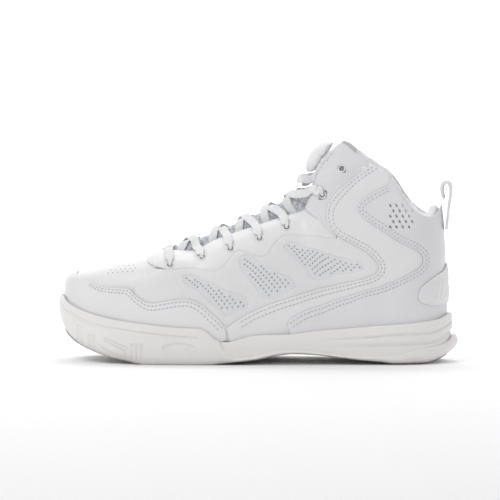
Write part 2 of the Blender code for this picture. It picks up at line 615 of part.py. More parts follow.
def add_sides():
    holes = [list(reversed(traced(window))) for window in WINDOWS]
    stripe = traced(STRIPE_EDGE)
    rear = traced(REAR_EDGE)
    lower = traced(EYESTAY_LOWER)
    eyelets = eyelet_places()

    # quarter: from the vamp back under the toe overlay, the stripe and the flap
    under_toe = traced([(-76, 36), (-60, 36), (-45, 37), (-33, 31), (-26, 24), (-20, 17)])
    under_stripe = traced([(-12, 22), (0, 30), (14, 35.5), (40, 44.5), (67, 51), (84, 55.5), (92, 61),
                           (93, 70), (88, 78), (80, 84), (68, 91), (60, 97)])
    top = traced([(x, z - 0.45) for x, z in EYESTAY_LOWER])
    quarter = traced(QUARTER_FRONT) + under_toe + under_stripe + traced([(57.5, 92)]) + top[:-1]
    shrunk = [in_from(hole, 0.0) for hole in holes]
    panel_pair("quarter", quarter, QUARTER_OUT, shrunk, thick=QUARTER_THICK)
    for number, hole in enumerate(holes):
        panel_pair(f"window_{number + 1}", in_from(hole, 1.6 * GAP), WINDOW_OUT, thick=QUARTER_THICK)

    # eyestay: throat edge above, stepped edge below, with the first five eyelets
    throat = [(s * MM, 1.0) for s in (99, 103, 108, 114, 120, 128, 136, 146, 156, 166, 175, 183, 190, 196)]
    front = [(96 * MM, 0.97)]
    behind = traced([(34.5, 108.5), (38.5, 105), (41.3, 101.6), (45.9, 98.4), (50, 94.4), (53.5, 91)])
    eyestay = front + lower[::-1] + behind[::-1] + throat[::-1]
    punched = [ring_of(s, t, EYELET_RADIUS)[::-1] for s, t in eyelets[:5]]
    panel_pair("eyestay", eyestay, EYESTAY_OUT, punched)

    # ankle flap: from its front edge back under the stripe
    up_front = [(s, 1.0) for s in np.array([226, 229.5, 233, 236.5, 240, 243.5]) * MM]
    back = traced([(76, 128.5), (66, 120.5), (58, 112), (55.5, 105), (56, 98)])
    flap = traced(FLAP_FRONT) + traced(FLAP_LOWER)[1:-1] + back[::-1] + up_front[::-1]
    punched = [ring_of(s, t, EYELET_RADIUS)[::-1] for s, t in eyelets[5:]]
    panel_pair("ankle_flap", flap, flap_out, punched, facet=4.5 * MM)

    # stripe: between its own edge and a lap under the rear quarter
    lap = traced([(97, 124), (90, 116), (83, 111), (80, 107), (84, 103), (99, 93), (108, 87), (116.5, 81),
                  (120, 71), (116, 63), (104, 56), (88, 49), (60, 40.5), (40, 33), (33, 28), (30, 24)])
    foot = [(s, tucked(s)) for s in np.linspace(lap[-1][0], stripe[0][0] + 2.5 * MM, 8)]
    top = [(s, 1.0) for s in np.array([249, 254, 259]) * MM]
    panel_pair("stripe", stripe + top + lap + foot, STRIPE_OUT)

    # rear quarter: collar, ankle and heel, up to the seam down the back
    seam = HEEL_S - 0.5 * GAP
    rise = [(seam, t) for t in np.linspace(tucked(seam), 1.0, 12)]
    base = [(s, tucked(s)) for s in np.linspace(rear[-1][0], seam, 20)]
    collar = [(s * MM, 1.0)
              for s in (310, 304, 300, 297, 294, 291, 287, 284, 280, 277, 273, 270, 267, 264, 260)]
    panel_pair("rear_quarter", rear[1:-1] + base[:-1] + rise + collar, REAR_OUT)

    # lining of each side, below the padded collar
    for sign, side in ((1, "lateral"), (-1, "medial")):
        ways = np.array([98, 106, 116, 128, 142, 156, 170, 184, 198, 210, 220, 230, 240, 250, 260, 270, 280,
                         288, 296, 304, 311, 316.8]) * MM
        tops = [0.78 if s < 0.2 else min(0.97, up_to(s, lining_top(s))) for s in ways]
        grid_shell("lining_" + side, sign * ways, tops, sign > 0)
    counter_ways = np.linspace(246 * MM, 2 * HEEL_S - 246 * MM, 19)
    tops = [up_to(s, 0.066) for s in counter_ways]
    grid_shell("heel_counter", counter_ways, tops, True, -2.7 * MM, 1.4 * MM)


def lining_top(s):
    """Height at which the thin lining ends under the padded collar, or just under the flap's edge."""
    return float(np.interp(s, np.array([200, 206, 213, 226, 234, 244, 256, 270, 290, 317]) * MM,
                           np.array([104, 108, 124, 146, 132, 104, 92, 78, 74, 74]) * MM))


def in_from(outline, distance):
    """The outline moved inwards, in s and t."""
    ring = flat(outline)
    before, after = np.roll(ring, 1, axis=0), np.roll(ring, -1, axis=0)
    along = after - before
    along /= np.linalg.norm(along, axis=1, keepdims=True)
    area = np.sum(ring[:, 0] * after[:, 1] - ring[:, 1] * after[:, 0])
    inward = np.stack([-along[:, 1], along[:, 0]], axis=1) * np.sign(area)
    moved = ring + inward * distance
    return [(s, t / length) for (s, t), length in zip(moved, profile_length(moved[:, 0]))]


def grid_shell(name, ways, tops, forward, out=LINING_OUT, thick=SHEET, colour=GREY, rows=6):
    """A shell between low and the top of each place along the way."""
    way = np.repeat(ways, rows)
    rise = np.concatenate([np.linspace(over_bed(s), top, rows) for s, top in zip(ways, tops)])
    faces = []
    for i in range(len(ways) - 1):
        for j in range(rows - 1):
            a = i * rows + j
            face = (a, a + rows, a + rows + 1, a + 1)
            faces.append(face if forward else face[::-1])
    return shell(name, way, rise, faces, out, thick, colour, 0.9)


def add_collar():
    """The padded collar: a foam roll inside the rear quarters from flap to flap."""
    ways = [np.linspace(244, 300, 15), np.linspace(306, 328, 5), np.linspace(334, 390, 15)]
    ways = np.concatenate(ways) * MM
    rings = []
    for s in ways:
        top = float(upper(s, 1.0)[2])
        base = max(lining_top(min(s, 2 * HEEL_S - s)) + 4 * MM, 0.072)
        fall = top - base
        face = float(np.interp(min(s, 2 * HEEL_S - s), [0.276, 0.290], [-1.35, 0.1]))
        section = [(base, -1.35), (base + 0.35 * fall, face), (base + 0.72 * fall, face),
                   (top - 1 * MM, face), (top + 1.4 * MM, -1.4), (top + 1.8 * MM, -4.2), (top - 0.4 * MM, -7.0),
                   (base + 0.66 * fall, -9.6), (base + 0.33 * fall, -8.8), (base, -3.4)]
        rings.append([collar_point(s, z, out * MM, top) for z, out in section])
    tube("collar_padding", np.array(rings), GREY)


def collar_point(s, z, out, top):
    point = skin(s, min(up_to(s, z), 0.985), out)
    return np.array([point[0], point[1], z])


def tube(name, rings, colour=WHITE, rough=0.7):
    """A solid whose sections are rings of points, closed at both ends by a fan."""
    sections, sides = rings.shape[:2]
    points = [*rings.reshape(-1, 3), rings[0].mean(axis=0), rings[-1].mean(axis=0)]
    faces = []
    for k in range(sections - 1):
        for i in range(sides):
            j = (i + 1) % sides
            faces.append((k * sides + i, (k + 1) * sides + i, (k + 1) * sides + j, k * sides + j))
    first, last = sections * sides, sections * sides + 1
    for i in range(sides):
        j = (i + 1) % sides
        faces.append((i, j, first))
        faces.append(((sections - 1) * sides + j, (sections - 1) * sides + i, last))
    return facing_out(add_node(name, points, faces, colour, rough))


def facing_out(node):
    mesh = bmesh.new()
    mesh.from_mesh(node.data)
    bmesh.ops.recalc_face_normals(mesh, faces=mesh.faces)
    if mesh.calc_volume(signed=True) < 0:
        bmesh.ops.reverse_faces(mesh, faces=mesh.faces)
    mesh.to_mesh(node.data)
    mesh.free()
    node.data.shade_smooth()
    return node


def add_badge():
    edge = traced(BADGE_EDGE)
    top = (HEEL_S, up_to(HEEL_S, BADGE_TOP_Z * MM))
    bottom = (HEEL_S, up_to(HEEL_S, BADGE_LOW_Z * MM))
    outline = [top] + edge + [bottom] + [(2 * HEEL_S - s, t) for s, t in reversed(edge)]
    way, rise, faces = meshed(outline, facet=4.5 * MM)
    shell("heel_badge", way, rise, faces, BADGE_OUT, thick=1.0 * MM)


# The tongue, the lace and the pull tab

def tongue_row(s, out, across=(0.80, 0.87, 0.94, 1.0)):
    """One row of the tongue's face, from its lateral to its medial edge."""
    line = np.array(TONGUE_LINE, float) * MM
    middle = np.array([through(line[:, 0], line[:, 1], np.array([s]))[0], 4 * MM,
                       through(line[:, 0], line[:, 2], np.array([s]))[0]])
    rise = np.array(across)
    lateral = skin(s, rise, -7.0 * MM)
    medial = skin(-s, rise, -7.0 * MM)[::-1]
    middle[1] = (lateral[-1][1] + medial[0][1]) / 2
    arch = []
    for share in (0.22, 0.5, 0.78):
        lift = 1 - (2 * share - 1) ** 4
        chord = lateral[-1] + (medial[0] - lateral[-1]) * share
        peak = chord.copy()
        peak[[0, 2]] = middle[[0, 2]]
        arch.append(chord + (peak - chord) * lift)
    row = np.concatenate([lateral, arch, medial])
    row[:, 2] -= out
    return row


def add_tongue():
    ways = np.array([96, 100, 106, 113, 120, 128, 136, 146, 156, 166, 176, 186, 195, 202, 205]) * MM
    over = np.array([tongue_row(s, 0.0) for s in ways])
    under = np.array([tongue_row(s, TONGUE_THICK) for s in ways])
    count = over.shape[1]
    faces = []
    for i in range(len(ways) - 1):
        for j in range(count - 1):
            a = i * count + j
            faces.append((a, a + count, a + count + 1, a + 1))
    points = np.concatenate([over.reshape(-1, 3), under.reshape(-1, 3)])
    facing_out(add_node("tongue", points, with_sides(faces, len(ways) * count), GREY, 0.9))
    tube("tongue_upper", padded_rings(TONGUE_UPPER), GREY, 0.8)
    top = tube("tongue_top", padded_rings(TONGUE_TOP), GREY, 0.8)
    move_origin(top, np.array(TONGUE_HINGE) * MM)


def padded_rings(sections):
    """Oval sections, curved round the leg, of the tongue's padding."""
    rings = []
    for x, z, half, thick in np.array(sections) * MM:
        ring = []
        for angle in np.arange(12) * 2 * np.pi / 12:
            side, depth = np.sin(angle), np.cos(angle)
            bow = 0.35 * half * abs(side) ** 2.2
            back = thick / 2 + bow - depth * thick / 2
            ring.append((x + back, side * half + 1 * MM, z - depth * 0.1 * thick))
        rings.append(ring)
    return np.array(rings)


def move_origin(node, place):
    """The node's origin on its joint axis, with its mesh left where it is."""
    shift = Vector(place)
    for vertex in node.data.vertices:
        vertex.co -= shift
    node.location = shift


def add_pull_tab():
    """A webbing loop sewn to the back of the collar, in its own plane across the heel."""
    outside = [(132.9, 92.5), (133.6, 99), (134.6, 108.8), (135.6, 114.5), (136, 121), (135.2, 125),
               (132.6, 126.4), (129.8, 125), (128.6, 120.8), (130, 113.9)]
    inside_line = [(131.9, 92.5), (132.6, 99.2), (133.6, 108.9), (134.5, 114.8), (134.9, 120.6),
                   (134.2, 123.8), (132.6, 125.1), (130.8, 123.9), (129.9, 120.6), (131.1, 114.1)]
    half = PULL_TAB_WIDTH / 2
    points, faces = [], []
    for y in (-half, half):
        points += [(x * MM, y, z * MM) for x, z in outside + inside_line[::-1]]
    count = len(outside) * 2
    faces = []
    for i in range(count):
        j = (i + 1) % count
        faces.append((i, j, j + count, i + count))
    for i in range(len(outside) - 1):
        quad = (i, i + 1, count - 2 - i, count - 1 - i)
        faces.append(quad[::-1])
        faces.append(tuple(k + count for k in quad))
    tab = facing_out(add_node("pull_tab", points, faces, WHITE, 0.8))
    move_origin(tab, (132.2 * MM, 0, 93 * MM))


def way_back(side, s, t):
    """The direction of the upper towards the heel at a place."""
    way = upper(side * (s + MM), t) - upper(side * (s - MM), t)
    return way / np.linalg.norm(way)


def beside(side, s, t, out, width=1.0):
    """A place of the lace on or under the side of the upper: position, width, direction of its width."""
    return skin(side * s, min(t, 0.99), out), width * LACE_WIDTH, way_back(side, s, t)


def over_tongue(s, share, raised, width=1.0):
    """A place of the lace over the tongue, share of the way from the lateral to the medial throat edge."""
    step = 0.5 * MM
    shares = [0, 0.22, 0.5, 0.78, 1]

    def face(way, across):
        row = tongue_row(way, 0.0)[3:8]
        return np.array([np.interp(across, shares, row[:, i]) for i in range(3)])

    along = face(s + step, share) - face(s - step, share)
    across = face(s, min(share + 0.1, 1)) - face(s, max(share - 0.1, 0))
    up = np.cross(along, across)
    up *= np.sign(up[2]) / np.linalg.norm(up)
    return face(s, share) + up * raised, width * LACE_WIDTH, along / np.linalg.norm(along)


def eyelet_pass(side, s, t, face, arrive, leave):
    """The lace over the edge of the throat, in through an eyelet from outside and back up under the panel."""
    def at(way, rise, clear, width=1.0):
        outer = float(face(np.array([way]), np.array([rise]))[0])
        return beside(side, way, rise, outer + clear, width)

    over, under = 1.5 * MM, -SHEET - 1.3 * MM
    edge = [at(arrive, 0.99, over + 0.8 * MM)]
    reach = edge + [at(arrive + (s - arrive) * f, 0.985 + (t - 0.985) * f, over)
                    for f in (0.14, 0.32, 0.56, 0.78)]
    hole = [
        at(s, t + 0.04, over, 0.48),
        at(s, t + 0.004, over - 0.7 * MM, 0.36),
        at(s, t, -SHEET / 2, 0.36),
        at(s, t + 0.004, under + 0.5 * MM, 0.4),
        at(s, t + 0.04, under, 0.5),
    ]
    back = [at(leave + (s - leave) * f, 0.965 + (t - 0.965) * f, under) for f in (0.78, 0.56, 0.28)]
    out = [at(leave, 0.965, under - 0.4 * MM, 0.85), at(leave + 0.5 * MM, 0.988, -3.6 * MM, 0.8)]
    return reach + hole + back + out


def eyestay_face(way, rise):
    return np.full(len(way), EYESTAY_OUT)


def lace_half(places, side, raised):
    """Half of the lace, from the bar over the first pair of eyelets to its tucked end."""
    first = places[0][0]
    line = [over_tongue(first - 3 * MM, 0.5, 1.6 * MM)]
    for number, (s, t) in enumerate(places):
        top = number == LACED - 1
        before = places[max(number - 1, 0)][0]
        after = places[min(number + 1, LACED - 1)][0]
        share = 0.5 - 0.5 * side
        if number:
            clear, back = (3.2 * MM, 0.52) if top else (2.0 * MM, 0.36)
            line.append(over_tongue(s - back * (s - before), share + 0.25 * side, clear))
        else:
            line.append(over_tongue(first - 3 * MM, share + 0.25 * side, 1.7 * MM))
        arrive = s - 8.5 * MM if top else s - max(0.22 * (s - before), 3 * MM)
        leave = s + 0.15 * (after - s) if not top else s - 3 * MM
        line += eyelet_pass(side, s, t, flap_out if top else eyestay_face, arrive, leave)
        if not top:
            middle, clear = (0.36, 2.6 * MM) if number == LACED - 2 else (0.5, 1.95 * MM)
            line.append(over_tongue(s + 0.5 * middle * (after - s), share + 0.17 * side, 1.45 * MM))
            line.append(over_tongue(s + 0.66 * middle * (after - s), share + 0.28 * side, clear))
            line.append(over_tongue(s + middle * (after - s), 0.5, raised))
            side = -side
    line.append((np.array([38.6, -side * 14.8, 127.6]) * MM, 0.9 * LACE_WIDTH, np.array([0.3, 0, 0.95])))
    line.append((np.array([32.5, -side * 14, 127.8]) * MM, 0.9 * LACE_WIDTH, np.array([0.3, 0, 0.95])))
    line.append((np.array([28.9, -side * 8, 127.4]) * MM, 0.9 * LACE_WIDTH, np.array([0.3, 0, 0.95])))
    line.append((np.array([28.6, -side * 1.2, 127.4]) * MM, 0.9 * LACE_WIDTH, np.array([0.3, 0, 0.95])))
    return line


def rounded(knots, values, at):
    """A curve through the points that turns smoothly at each."""
    slope = 0.75 * np.gradient(values, knots)
    i = np.clip(np.searchsorted(knots, at, side="right") - 1, 0, len(knots) - 2)
    step = knots[i + 1] - knots[i]
    u = (at - knots[i]) / step
    return (values[i] * (1 + 2 * u) * (1 - u) ** 2 + slope[i] * step * u * (1 - u) ** 2
            + values[i + 1] * u * u * (3 - 2 * u) + slope[i + 1] * step * u * u * (u - 1))


def add_lace():
    """One flat lace: in through each eyelet from outside, out under the eyestay, crossing over the tongue."""
    places = eyelet_places()[:LACED]
    one = lace_half(places, 1, 1.6 * MM)
    other = lace_half(places, -1, 3.6 * MM)
    line = other[::-1] + one[1:]
    points = np.array([place for place, _, _ in line])
    far = np.concatenate([[0], np.cumsum(np.linalg.norm(np.diff(points, axis=0), axis=1))])
    at = far
    widths = np.interp(at, far, [width for _, width, _ in line])
    sides = np.array([side for _, _, side in line])
    sides = np.stack([np.interp(at, far, sides[:, i]) for i in range(3)], axis=1)
    points = np.stack([rounded(far, points[:, i], at) for i in range(3)], axis=1)
    tangent = np.gradient(points, at, axis=0)
    tangent /= np.linalg.norm(tangent, axis=1, keepdims=True)
    rings = []
    for place, way, side, width in zip(points, tangent, sides, widths):
        side = side - way * (way @ side)
        side /= np.linalg.norm(side)
        up = np.cross(side, way)
        thick = LACE_THICK * (1 if width > 0.5 * LACE_WIDTH else 1.3)
        rings.append([place + side * width / 2 * a + up * thick / 2 * b
                      for a, b in ((1, 0), (0.75, 1), (-0.75, 1), (-1, 0), (-0.75, -1), (0.75, -1))])
    tube("lace", np.array(rings), WHITE, 0.9)


def clear_scene():
    for found in list(bpy.data.objects):
        bpy.data.objects.remove(found)


clear_scene()
add_sole()
add_toe()
add_sides()
add_collar()
add_badge()
add_tongue()
add_pull_tab()
add_lace()
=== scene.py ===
"""The looks of the cheerleading shoe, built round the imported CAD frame.

Toe to -X, lateral side to -Y, up is +Z. Every panel is a fine shell on the same surface as the CAD part.
"""

import math

import bmesh
import bpy
import numpy as np
from mathutils import Matrix, Vector
from mathutils.bvhtree import BVHTree
from mathutils.geometry import delaunay_2d_cdt


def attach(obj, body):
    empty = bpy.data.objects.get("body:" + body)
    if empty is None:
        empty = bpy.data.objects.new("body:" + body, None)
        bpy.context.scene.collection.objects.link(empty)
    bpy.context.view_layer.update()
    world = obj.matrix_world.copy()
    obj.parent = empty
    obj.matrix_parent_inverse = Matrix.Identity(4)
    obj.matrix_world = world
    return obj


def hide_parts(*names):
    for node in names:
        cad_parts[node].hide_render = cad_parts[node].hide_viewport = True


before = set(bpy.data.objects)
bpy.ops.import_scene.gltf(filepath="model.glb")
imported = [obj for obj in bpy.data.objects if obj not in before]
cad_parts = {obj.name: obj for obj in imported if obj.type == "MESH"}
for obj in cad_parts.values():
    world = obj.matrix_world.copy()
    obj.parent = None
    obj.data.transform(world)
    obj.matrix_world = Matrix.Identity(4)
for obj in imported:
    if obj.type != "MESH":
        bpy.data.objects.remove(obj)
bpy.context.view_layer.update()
BODY = "shoe"


MM = 0.001

# Driving dimensions
GAP = 0.3 * MM                 # clear space between neighbouring pieces
SHEET = 1.1 * MM               # thickness of an upper panel
SOLE_WALL = 2.6 * MM           # thickness of the sole's side wall
HEEL_S = 317 * MM              # half of the way round the sole edge
LACE_WIDTH = 5.8 * MM
LACE_THICK = 1.0 * MM
EYELET_RADIUS = 2.3 * MM
PULL_TAB_WIDTH = 15 * MM

# How far each layer's outer face lies outside the upper's surface
VAMP_OUT = -2.6 * MM
QUARTER_OUT = -1.5 * MM
QUARTER_THICK = 0.8 * MM
EYESTAY_OUT = -1.2 * MM
WINDOW_OUT = -1.7 * MM
STRIPE_OUT = 0.3 * MM
FLAP_OUT = 0.5 * MM
REAR_OUT = 1.7 * MM
BADGE_OUT = 3.1 * MM

# Stations of the upper, in mm: way round the sole edge; sole edge x, lateral y, medial y; top edge x,
# lateral y, medial y, z; crown of the profile; 1 where the side is a wall; 1 where it closes over the foot
STATIONS = np.array([
    (0, -138.1, 7, 7, -98, 5, 5, 70.2, 1.10, 0, 1),
    (15, -135, -8, 20, -97, 5, 5, 70.4, 1.08, 0, 1),
    (33, -126, -22.5, 32, -94.5, 5, 5, 71, 1.05, 0, 1),
    (53, -111, -35.5, 41, -90, 5, 5, 72.1, 1.0, 0, 1),
    (77, -88, -44.5, 47, -80, 4.5, 4.5, 74.6, 0.92, 0, 1),
    (93, -73, -47.5, 48.8, -71.5, 4.1, 4.1, 77.9, 0.88, 0, 1),
    (105, -61, -48.5, 48.8, -62, -3.5, 11.5, 75.2, 0.85, 0, 0.6),
    (120, -46, -48.5, 46.5, -47, -7.5, 14.5, 76.6, 0.8, 0, 0.2),
    (136, -30, -47.5, 42.5, -31, -9, 15.5, 85.5, 0.75, 0, 0),
    (166, 0, -43.5, 37, -1, -11, 15.5, 96.3, 0.68, 0, 0),
    (190, 24, -40, 34, 24, -12.5, 15.5, 104.8, 0.65, 0.15, 0),
    (200, 34, -38.8, 33.5, 33.5, -14.5, 16.5, 108, 0.62, 0.3, 0),
    (206, 40, -38, 33.3, 37.2, -16.5, 18, 115, 0.62, 0.45, 0),
    (213, 47, -37.3, 33.2, 41.2, -18.5, 19.5, 132, 0.6, 0.62, 0),
    (219, 53, -36.6, 33.3, 48.5, -21.5, 22, 144, 0.6, 0.78, 0),
    (226, 60, -36, 33.5, 59, -25, 25, 153.6, 0.6, 0.9, 0),
    (236, 70, -35.3, 33.8, 70.5, -28, 27.5, 146.3, 0.6, 1, 0),
    (246, 80, -34.6, 34, 81, -30, 29, 138.8, 0.6, 1, 0),
    (256, 90, -34, 33.6, 91.3, -30.5, 29.5, 132.4, 0.6, 1, 0),
    (264, 98, -33.3, 32.8, 98, -30.3, 29.4, 123.5, 0.6, 1, 0),
    (270, 104, -32.3, 31.8, 103, -29.8, 29, 115.5, 0.6, 1, 0),
    (277, 110, -30.3, 29.8, 108.5, -28.6, 27.8, 109, 0.6, 1, 0),
    (284, 116.3, -27, 26.6, 114.6, -25.8, 25, 104.3, 0.6, 1, 0),
    (291, 121.8, -22.3, 22, 120.4, -20.8, 20.3, 102, 0.6, 1, 0),
    (297, 125.8, -17.5, 17.2, 124.3, -15.2, 14.9, 103, 0.6, 1, 0),
    (304, 129.3, -11, 10.9, 126.6, -8.8, 8.7, 106.5, 0.6, 1, 0),
    (317, 131.8, 0, 0, 127.7, 0, 0, 109.6, 0.6, 1, 0),
])
COLUMNS = ("bx", "by", "tx", "ty", "tz", "crown", "wall", "ridge")

# Heights along the shoe, in mm: pairs of x, z
RIDGE = [(-139, 62.3), (-128.6, 63.5), (-119.6, 65.7), (-105.8, 68.6), (-92, 72.1), (-76, 76.1),
         (-71, 78.1), (-50, 86)]
FOOTBED = [(-140, 31), (-130, 25), (-117, 19), (-104, 15), (-89, 12.5), (-73, 11.5), (-20, 11.5), (0, 13.5),
           (25, 17), (60, 18.5), (100, 20), (134, 21)]
GROUND = [(-141, 26), (-134, 19.5), (-127, 14.2), (-117, 9.8), (-104, 5.6), (-89, 2.6), (-73, 0), (-35, 0),
          (-16, 1.4), (2, 3.3), (15, 6), (28, 7.5), (43, 6.8), (60, 4.7), (74, 3), (88, 1.8), (98, 0.6),
          (118, 0.6), (126, 2), (131, 4.2), (141, 8)]
SOLE_TOP = [(-141, 45.4), (-136, 44), (-132, 40.3), (-126, 37.5), (-119, 35.1), (-106, 31.8), (-92, 29.4),
            (-78, 27.7), (-64, 26.3), (-50, 25.1), (-37, 24.6), (-33.5, 23.6), (-31, 21.9), (-27.7, 19.2),
            (-25, 17), (-22, 16.1), (-17, 16), (-9, 17.8), (-3.5, 19.6), (4, 20.6), (26, 21.3), (39, 23),
            (60, 24.9), (88, 27.2), (115, 29.2), (127, 30.6), (134, 33.5), (138, 34.5)]
RUBBER_TOP = [(-141, 45.4), (-136, 44), (-132, 40.3), (-126, 37.5), (-119, 35.1), (-106, 31.8), (-92, 29.4),
              (-78, 27.7), (-64, 26.3), (-50, 25.1), (-37, 24.6), (-33.5, 23.6), (-31, 21.9), (-27.7, 19.2),
              (-25, 17), (-22, 15.6), (-20, 11.3), (-16, 7.1), (-11, 5.2), (-2, 5.7), (5, 7.1), (12, 8.9),
              (19, 10.2), (32, 10.4), (46, 8.9), (60, 7.2), (74, 6.4), (88, 6.4), (102, 6.8), (107, 8.9),
              (114, 10.6), (122, 11.6), (129, 13), (134, 15), (138, 20.6)]

# Panel outlines seen from the lateral side, in mm: pairs of x, z
TOE_OVERLAY_EDGE = [(-128.6, 63.4), (-123, 59.7), (-116, 56.9), (-109, 54.1), (-102, 53.1), (-92, 52.8),
                    (-86.5, 52), (-83, 49.3), (-77.5, 45.1), (-74, 43.2), (-68, 42.7), (-62, 43.8),
                    (-50.5, 45.5), (-43.5, 45.3), (-38, 43.4), (-33, 40), (-28.5, 35.8), (-24, 32),
                    (-20.5, 27.9), (-19, 25), (-17.8, 17)]
STRIPE_EDGE = [(-17.9, 25.6), (-10.5, 31), (-1, 36.5), (12, 42), (25.5, 46.5), (39.5, 50.7), (53, 54.1),
               (67, 57.2), (81, 61), (84.5, 62.8), (86.5, 65), (87, 67.3), (85, 71.4), (82, 75), (78, 78.3),
               (67, 84.6), (57.5, 90), (54, 93.2), (51.8, 96.3), (50.4, 100.5), (50, 104.6), (50.5, 108.8),
               (54, 115.5), (61.5, 123.3), (67, 128), (76.5, 135), (81.5, 138.4)]
REAR_EDGE = [(93.3, 131.5), (93.3, 124.7), (88, 121.9), (82, 118.7), (76.5, 115), (73, 111.5), (71.6, 108),
             (74, 103.9), (78, 100.5), (90.5, 92.2), (98, 87), (104.5, 83.5), (110, 80.8), (114, 78),
             (116.2, 75), (116.8, 71.4), (115.5, 68.3), (112, 65.5), (101.5, 59.7), (95, 56.9), (88, 54.1),
             (74, 50.3), (60, 45.8), (46, 40.7), (32.5, 35.8), (28.3, 33.4), (25.2, 31), (23.9, 28.5),
             (24, 25.8), (26, 19)]
FLAP_FRONT = [(56, 152.2), (52.5, 149), (49.8, 145.6), (47.7, 142.4), (45, 138), (42, 133), (40, 126),
              (38.4, 120), (37, 114.3), (34.6, 108)]
FLAP_LOWER = [(34.6, 107.6), (38, 104.6), (42, 101.8), (46.3, 99), (50.5, 95), (54, 91.5), (58, 88.5)]
EYESTAY_LOWER = [(57, 87.7), (46.3, 88.7), (32.5, 89.7), (20, 89.7), (16, 86.6), (13, 82.5), (10.5, 78.3),
                 (8.3, 76.3), (-2, 77.6), (-7, 79.4), (-10.4, 79.7), (-13, 78.3), (-16, 75), (-18.7, 71.4),
                 (-22, 68), (-25, 66.3), (-31, 65.9), (-42, 67.6), (-57.5, 67), (-70, 69.5)]
QUARTER_FRONT = [(-71.5, 66.5), (-76, 60), (-80.2, 57.6), (-82.6, 54), (-83, 50), (-81.6, 46.5), (-78, 41)]
WINDOWS = [
    [(-47.7, 62.4), (-43.6, 62.8), (-33.2, 59), (-19.4, 52.1), (-4.1, 45.1), (-3.5, 42.4), (-4.5, 39.3),
     (-10.4, 37.2), (-18.7, 34.4), (-21.4, 36.9), (-32.5, 46.5), (-37.3, 51.4), (-43.6, 55.2),
     (-47.7, 57.6)],
    [(-9, 75.6), (-5.5, 76.3), (6.2, 70), (20, 62.8), (28.3, 58.3), (29.7, 54.1), (27, 52.1), (11.8, 45.8),
     (7.6, 46.5), (4.8, 48.6), (2, 53.4), (-6.2, 64.5), (-9, 68), (-9.7, 72.1)],
    [(24.9, 84.9), (37.3, 80.8), (54.6, 75.6), (72.6, 71.4), (75.4, 69.7), (76.1, 67.3), (74, 65.5),
     (60.2, 62.8), (47.7, 59.3), (42.9, 59), (40, 60.4), (35.3, 67.3), (27, 75.6), (20.7, 81.1),
     (22, 83.2)],
]
BADGE_EDGE = [(129.3, 65.2), (123.8, 60.7), (118.9, 56.9), (115.5, 53.8), (113.4, 50), (113, 46.5),
              (114, 43.8), (118.2, 41.7), (123.8, 40.7), (129.3, 41)]
BADGE_TOP_Z = 69
BADGE_LOW_Z = 42
EYELETS = [(-58.1, 69.7), (-36.3, 74.9), (-16.6, 80.8), (3.5, 87.7), (22.1, 95.3), (47, 117.4), (60.8, 135.7)]
LACED = 6                      # the last eyelet of each side is left empty

# The tongue's middle line over the instep: way round the sole edge, x, z, in mm
TONGUE_LINE = [(96, -69.5, 75.5), (105, -61, 78), (120, -45.5, 83.5), (136, -30, 89.5), (166, -3, 101),
               (190, 17, 111), (200, 25, 116), (205, 28.5, 121)]
TONGUE_THICK = 4.5 * MM
# The padded top of the tongue: x, z of its front face, half width, thickness, in mm
TONGUE_UPPER = [(30.2, 122.6, 10, 4.6), (31.6, 127, 11.5, 5.4), (33.2, 131.6, 13, 6.2)]


# Curves and the upper's surface

def through(knots, values, at):
    """A smooth curve through the points that never overshoots them."""
    step = np.diff(knots)
    slope = np.diff(values) / step
    both = slope[:-1] * slope[1:]
    weight_a = 2 * step[1:] + step[:-1]
    weight_b = step[1:] + 2 * step[:-1]
    safe = np.where(both > 0, both, 1)
    middle = np.where(both > 0, (weight_a + weight_b) * safe / (weight_a * slope[1:] + weight_b * slope[:-1]
                      + np.where(both > 0, 0, 1)), 0)
    tangent = np.concatenate([slope[:1], middle, slope[-1:]])
    at = np.clip(at, knots[0], knots[-1])
    i = np.clip(np.searchsorted(knots, at, side="right") - 1, 0, len(step) - 1)
    u = (at - knots[i]) / step[i]
    return (values[i] * (1 + 2 * u) * (1 - u) ** 2 + tangent[i] * step[i] * u * (1 - u) ** 2
            + values[i + 1] * u * u * (3 - 2 * u) + tangent[i + 1] * step[i] * u * u * (u - 1))


def height(pairs, x):
    """The height at x, in metres, on a curve given as pairs in mm."""
    line = np.array(pairs, float) * MM
    return through(line[:, 0], line[:, 1], np.asarray(x, float))


def station_tables():
    """Each column of the stations over the whole way round, with an overlap past the heel."""
    rows = STATIONS.copy()
    rows[:, :8] *= MM
    lateral = rows[:, [0, 1, 2, 4, 5, 7, 8, 9, 10]]
    medial = rows[:, [0, 1, 3, 4, 6, 7, 8, 9, 10]].copy()
    medial[:, 0] *= -1
    after = medial.copy()
    after[:, 0] += 2 * HEEL_S
    before = lateral.copy()
    before[:, 0] -= 2 * HEEL_S
    every = np.concatenate([before, medial, lateral, after])
    every = every[np.argsort(every[:, 0], kind="stable")]
    keep = np.concatenate([[True], np.diff(every[:, 0]) > 1e-6])
    every = every[keep]
    return every[:, 0], {name: every[:, i + 1] for i, name in enumerate(COLUMNS)}


KNOTS, TABLE = station_tables()


def upper(s, t):
    """Points of the upper's surface."""
    s, t = np.broadcast_arrays(np.asarray(s, float), np.asarray(t, float))
    at = {name: through(KNOTS, TABLE[name], s) for name in COLUMNS}
    crown = at["crown"]
    across = 3 * (1 - t) * t * t * (1 - crown) + t ** 3
    up = 3 * (1 - t) ** 2 * t * crown + 3 * (1 - t) * t * t + t ** 3
    wall = at["wall"]
    across = across + wall * (0.55 * t + 0.45 * t ** 4 - across)
    up = up + wall * (t - up)
    x = at["bx"] + (at["tx"] - at["bx"]) * across
    y = at["by"] + (at["ty"] - at["by"]) * across
    low = height(FOOTBED, at["bx"])
    top = at["tz"] + at["ridge"] * (height(RIDGE, x) - at["tz"])
    return np.stack([x, y, low + (top - low) * up], axis=-1)


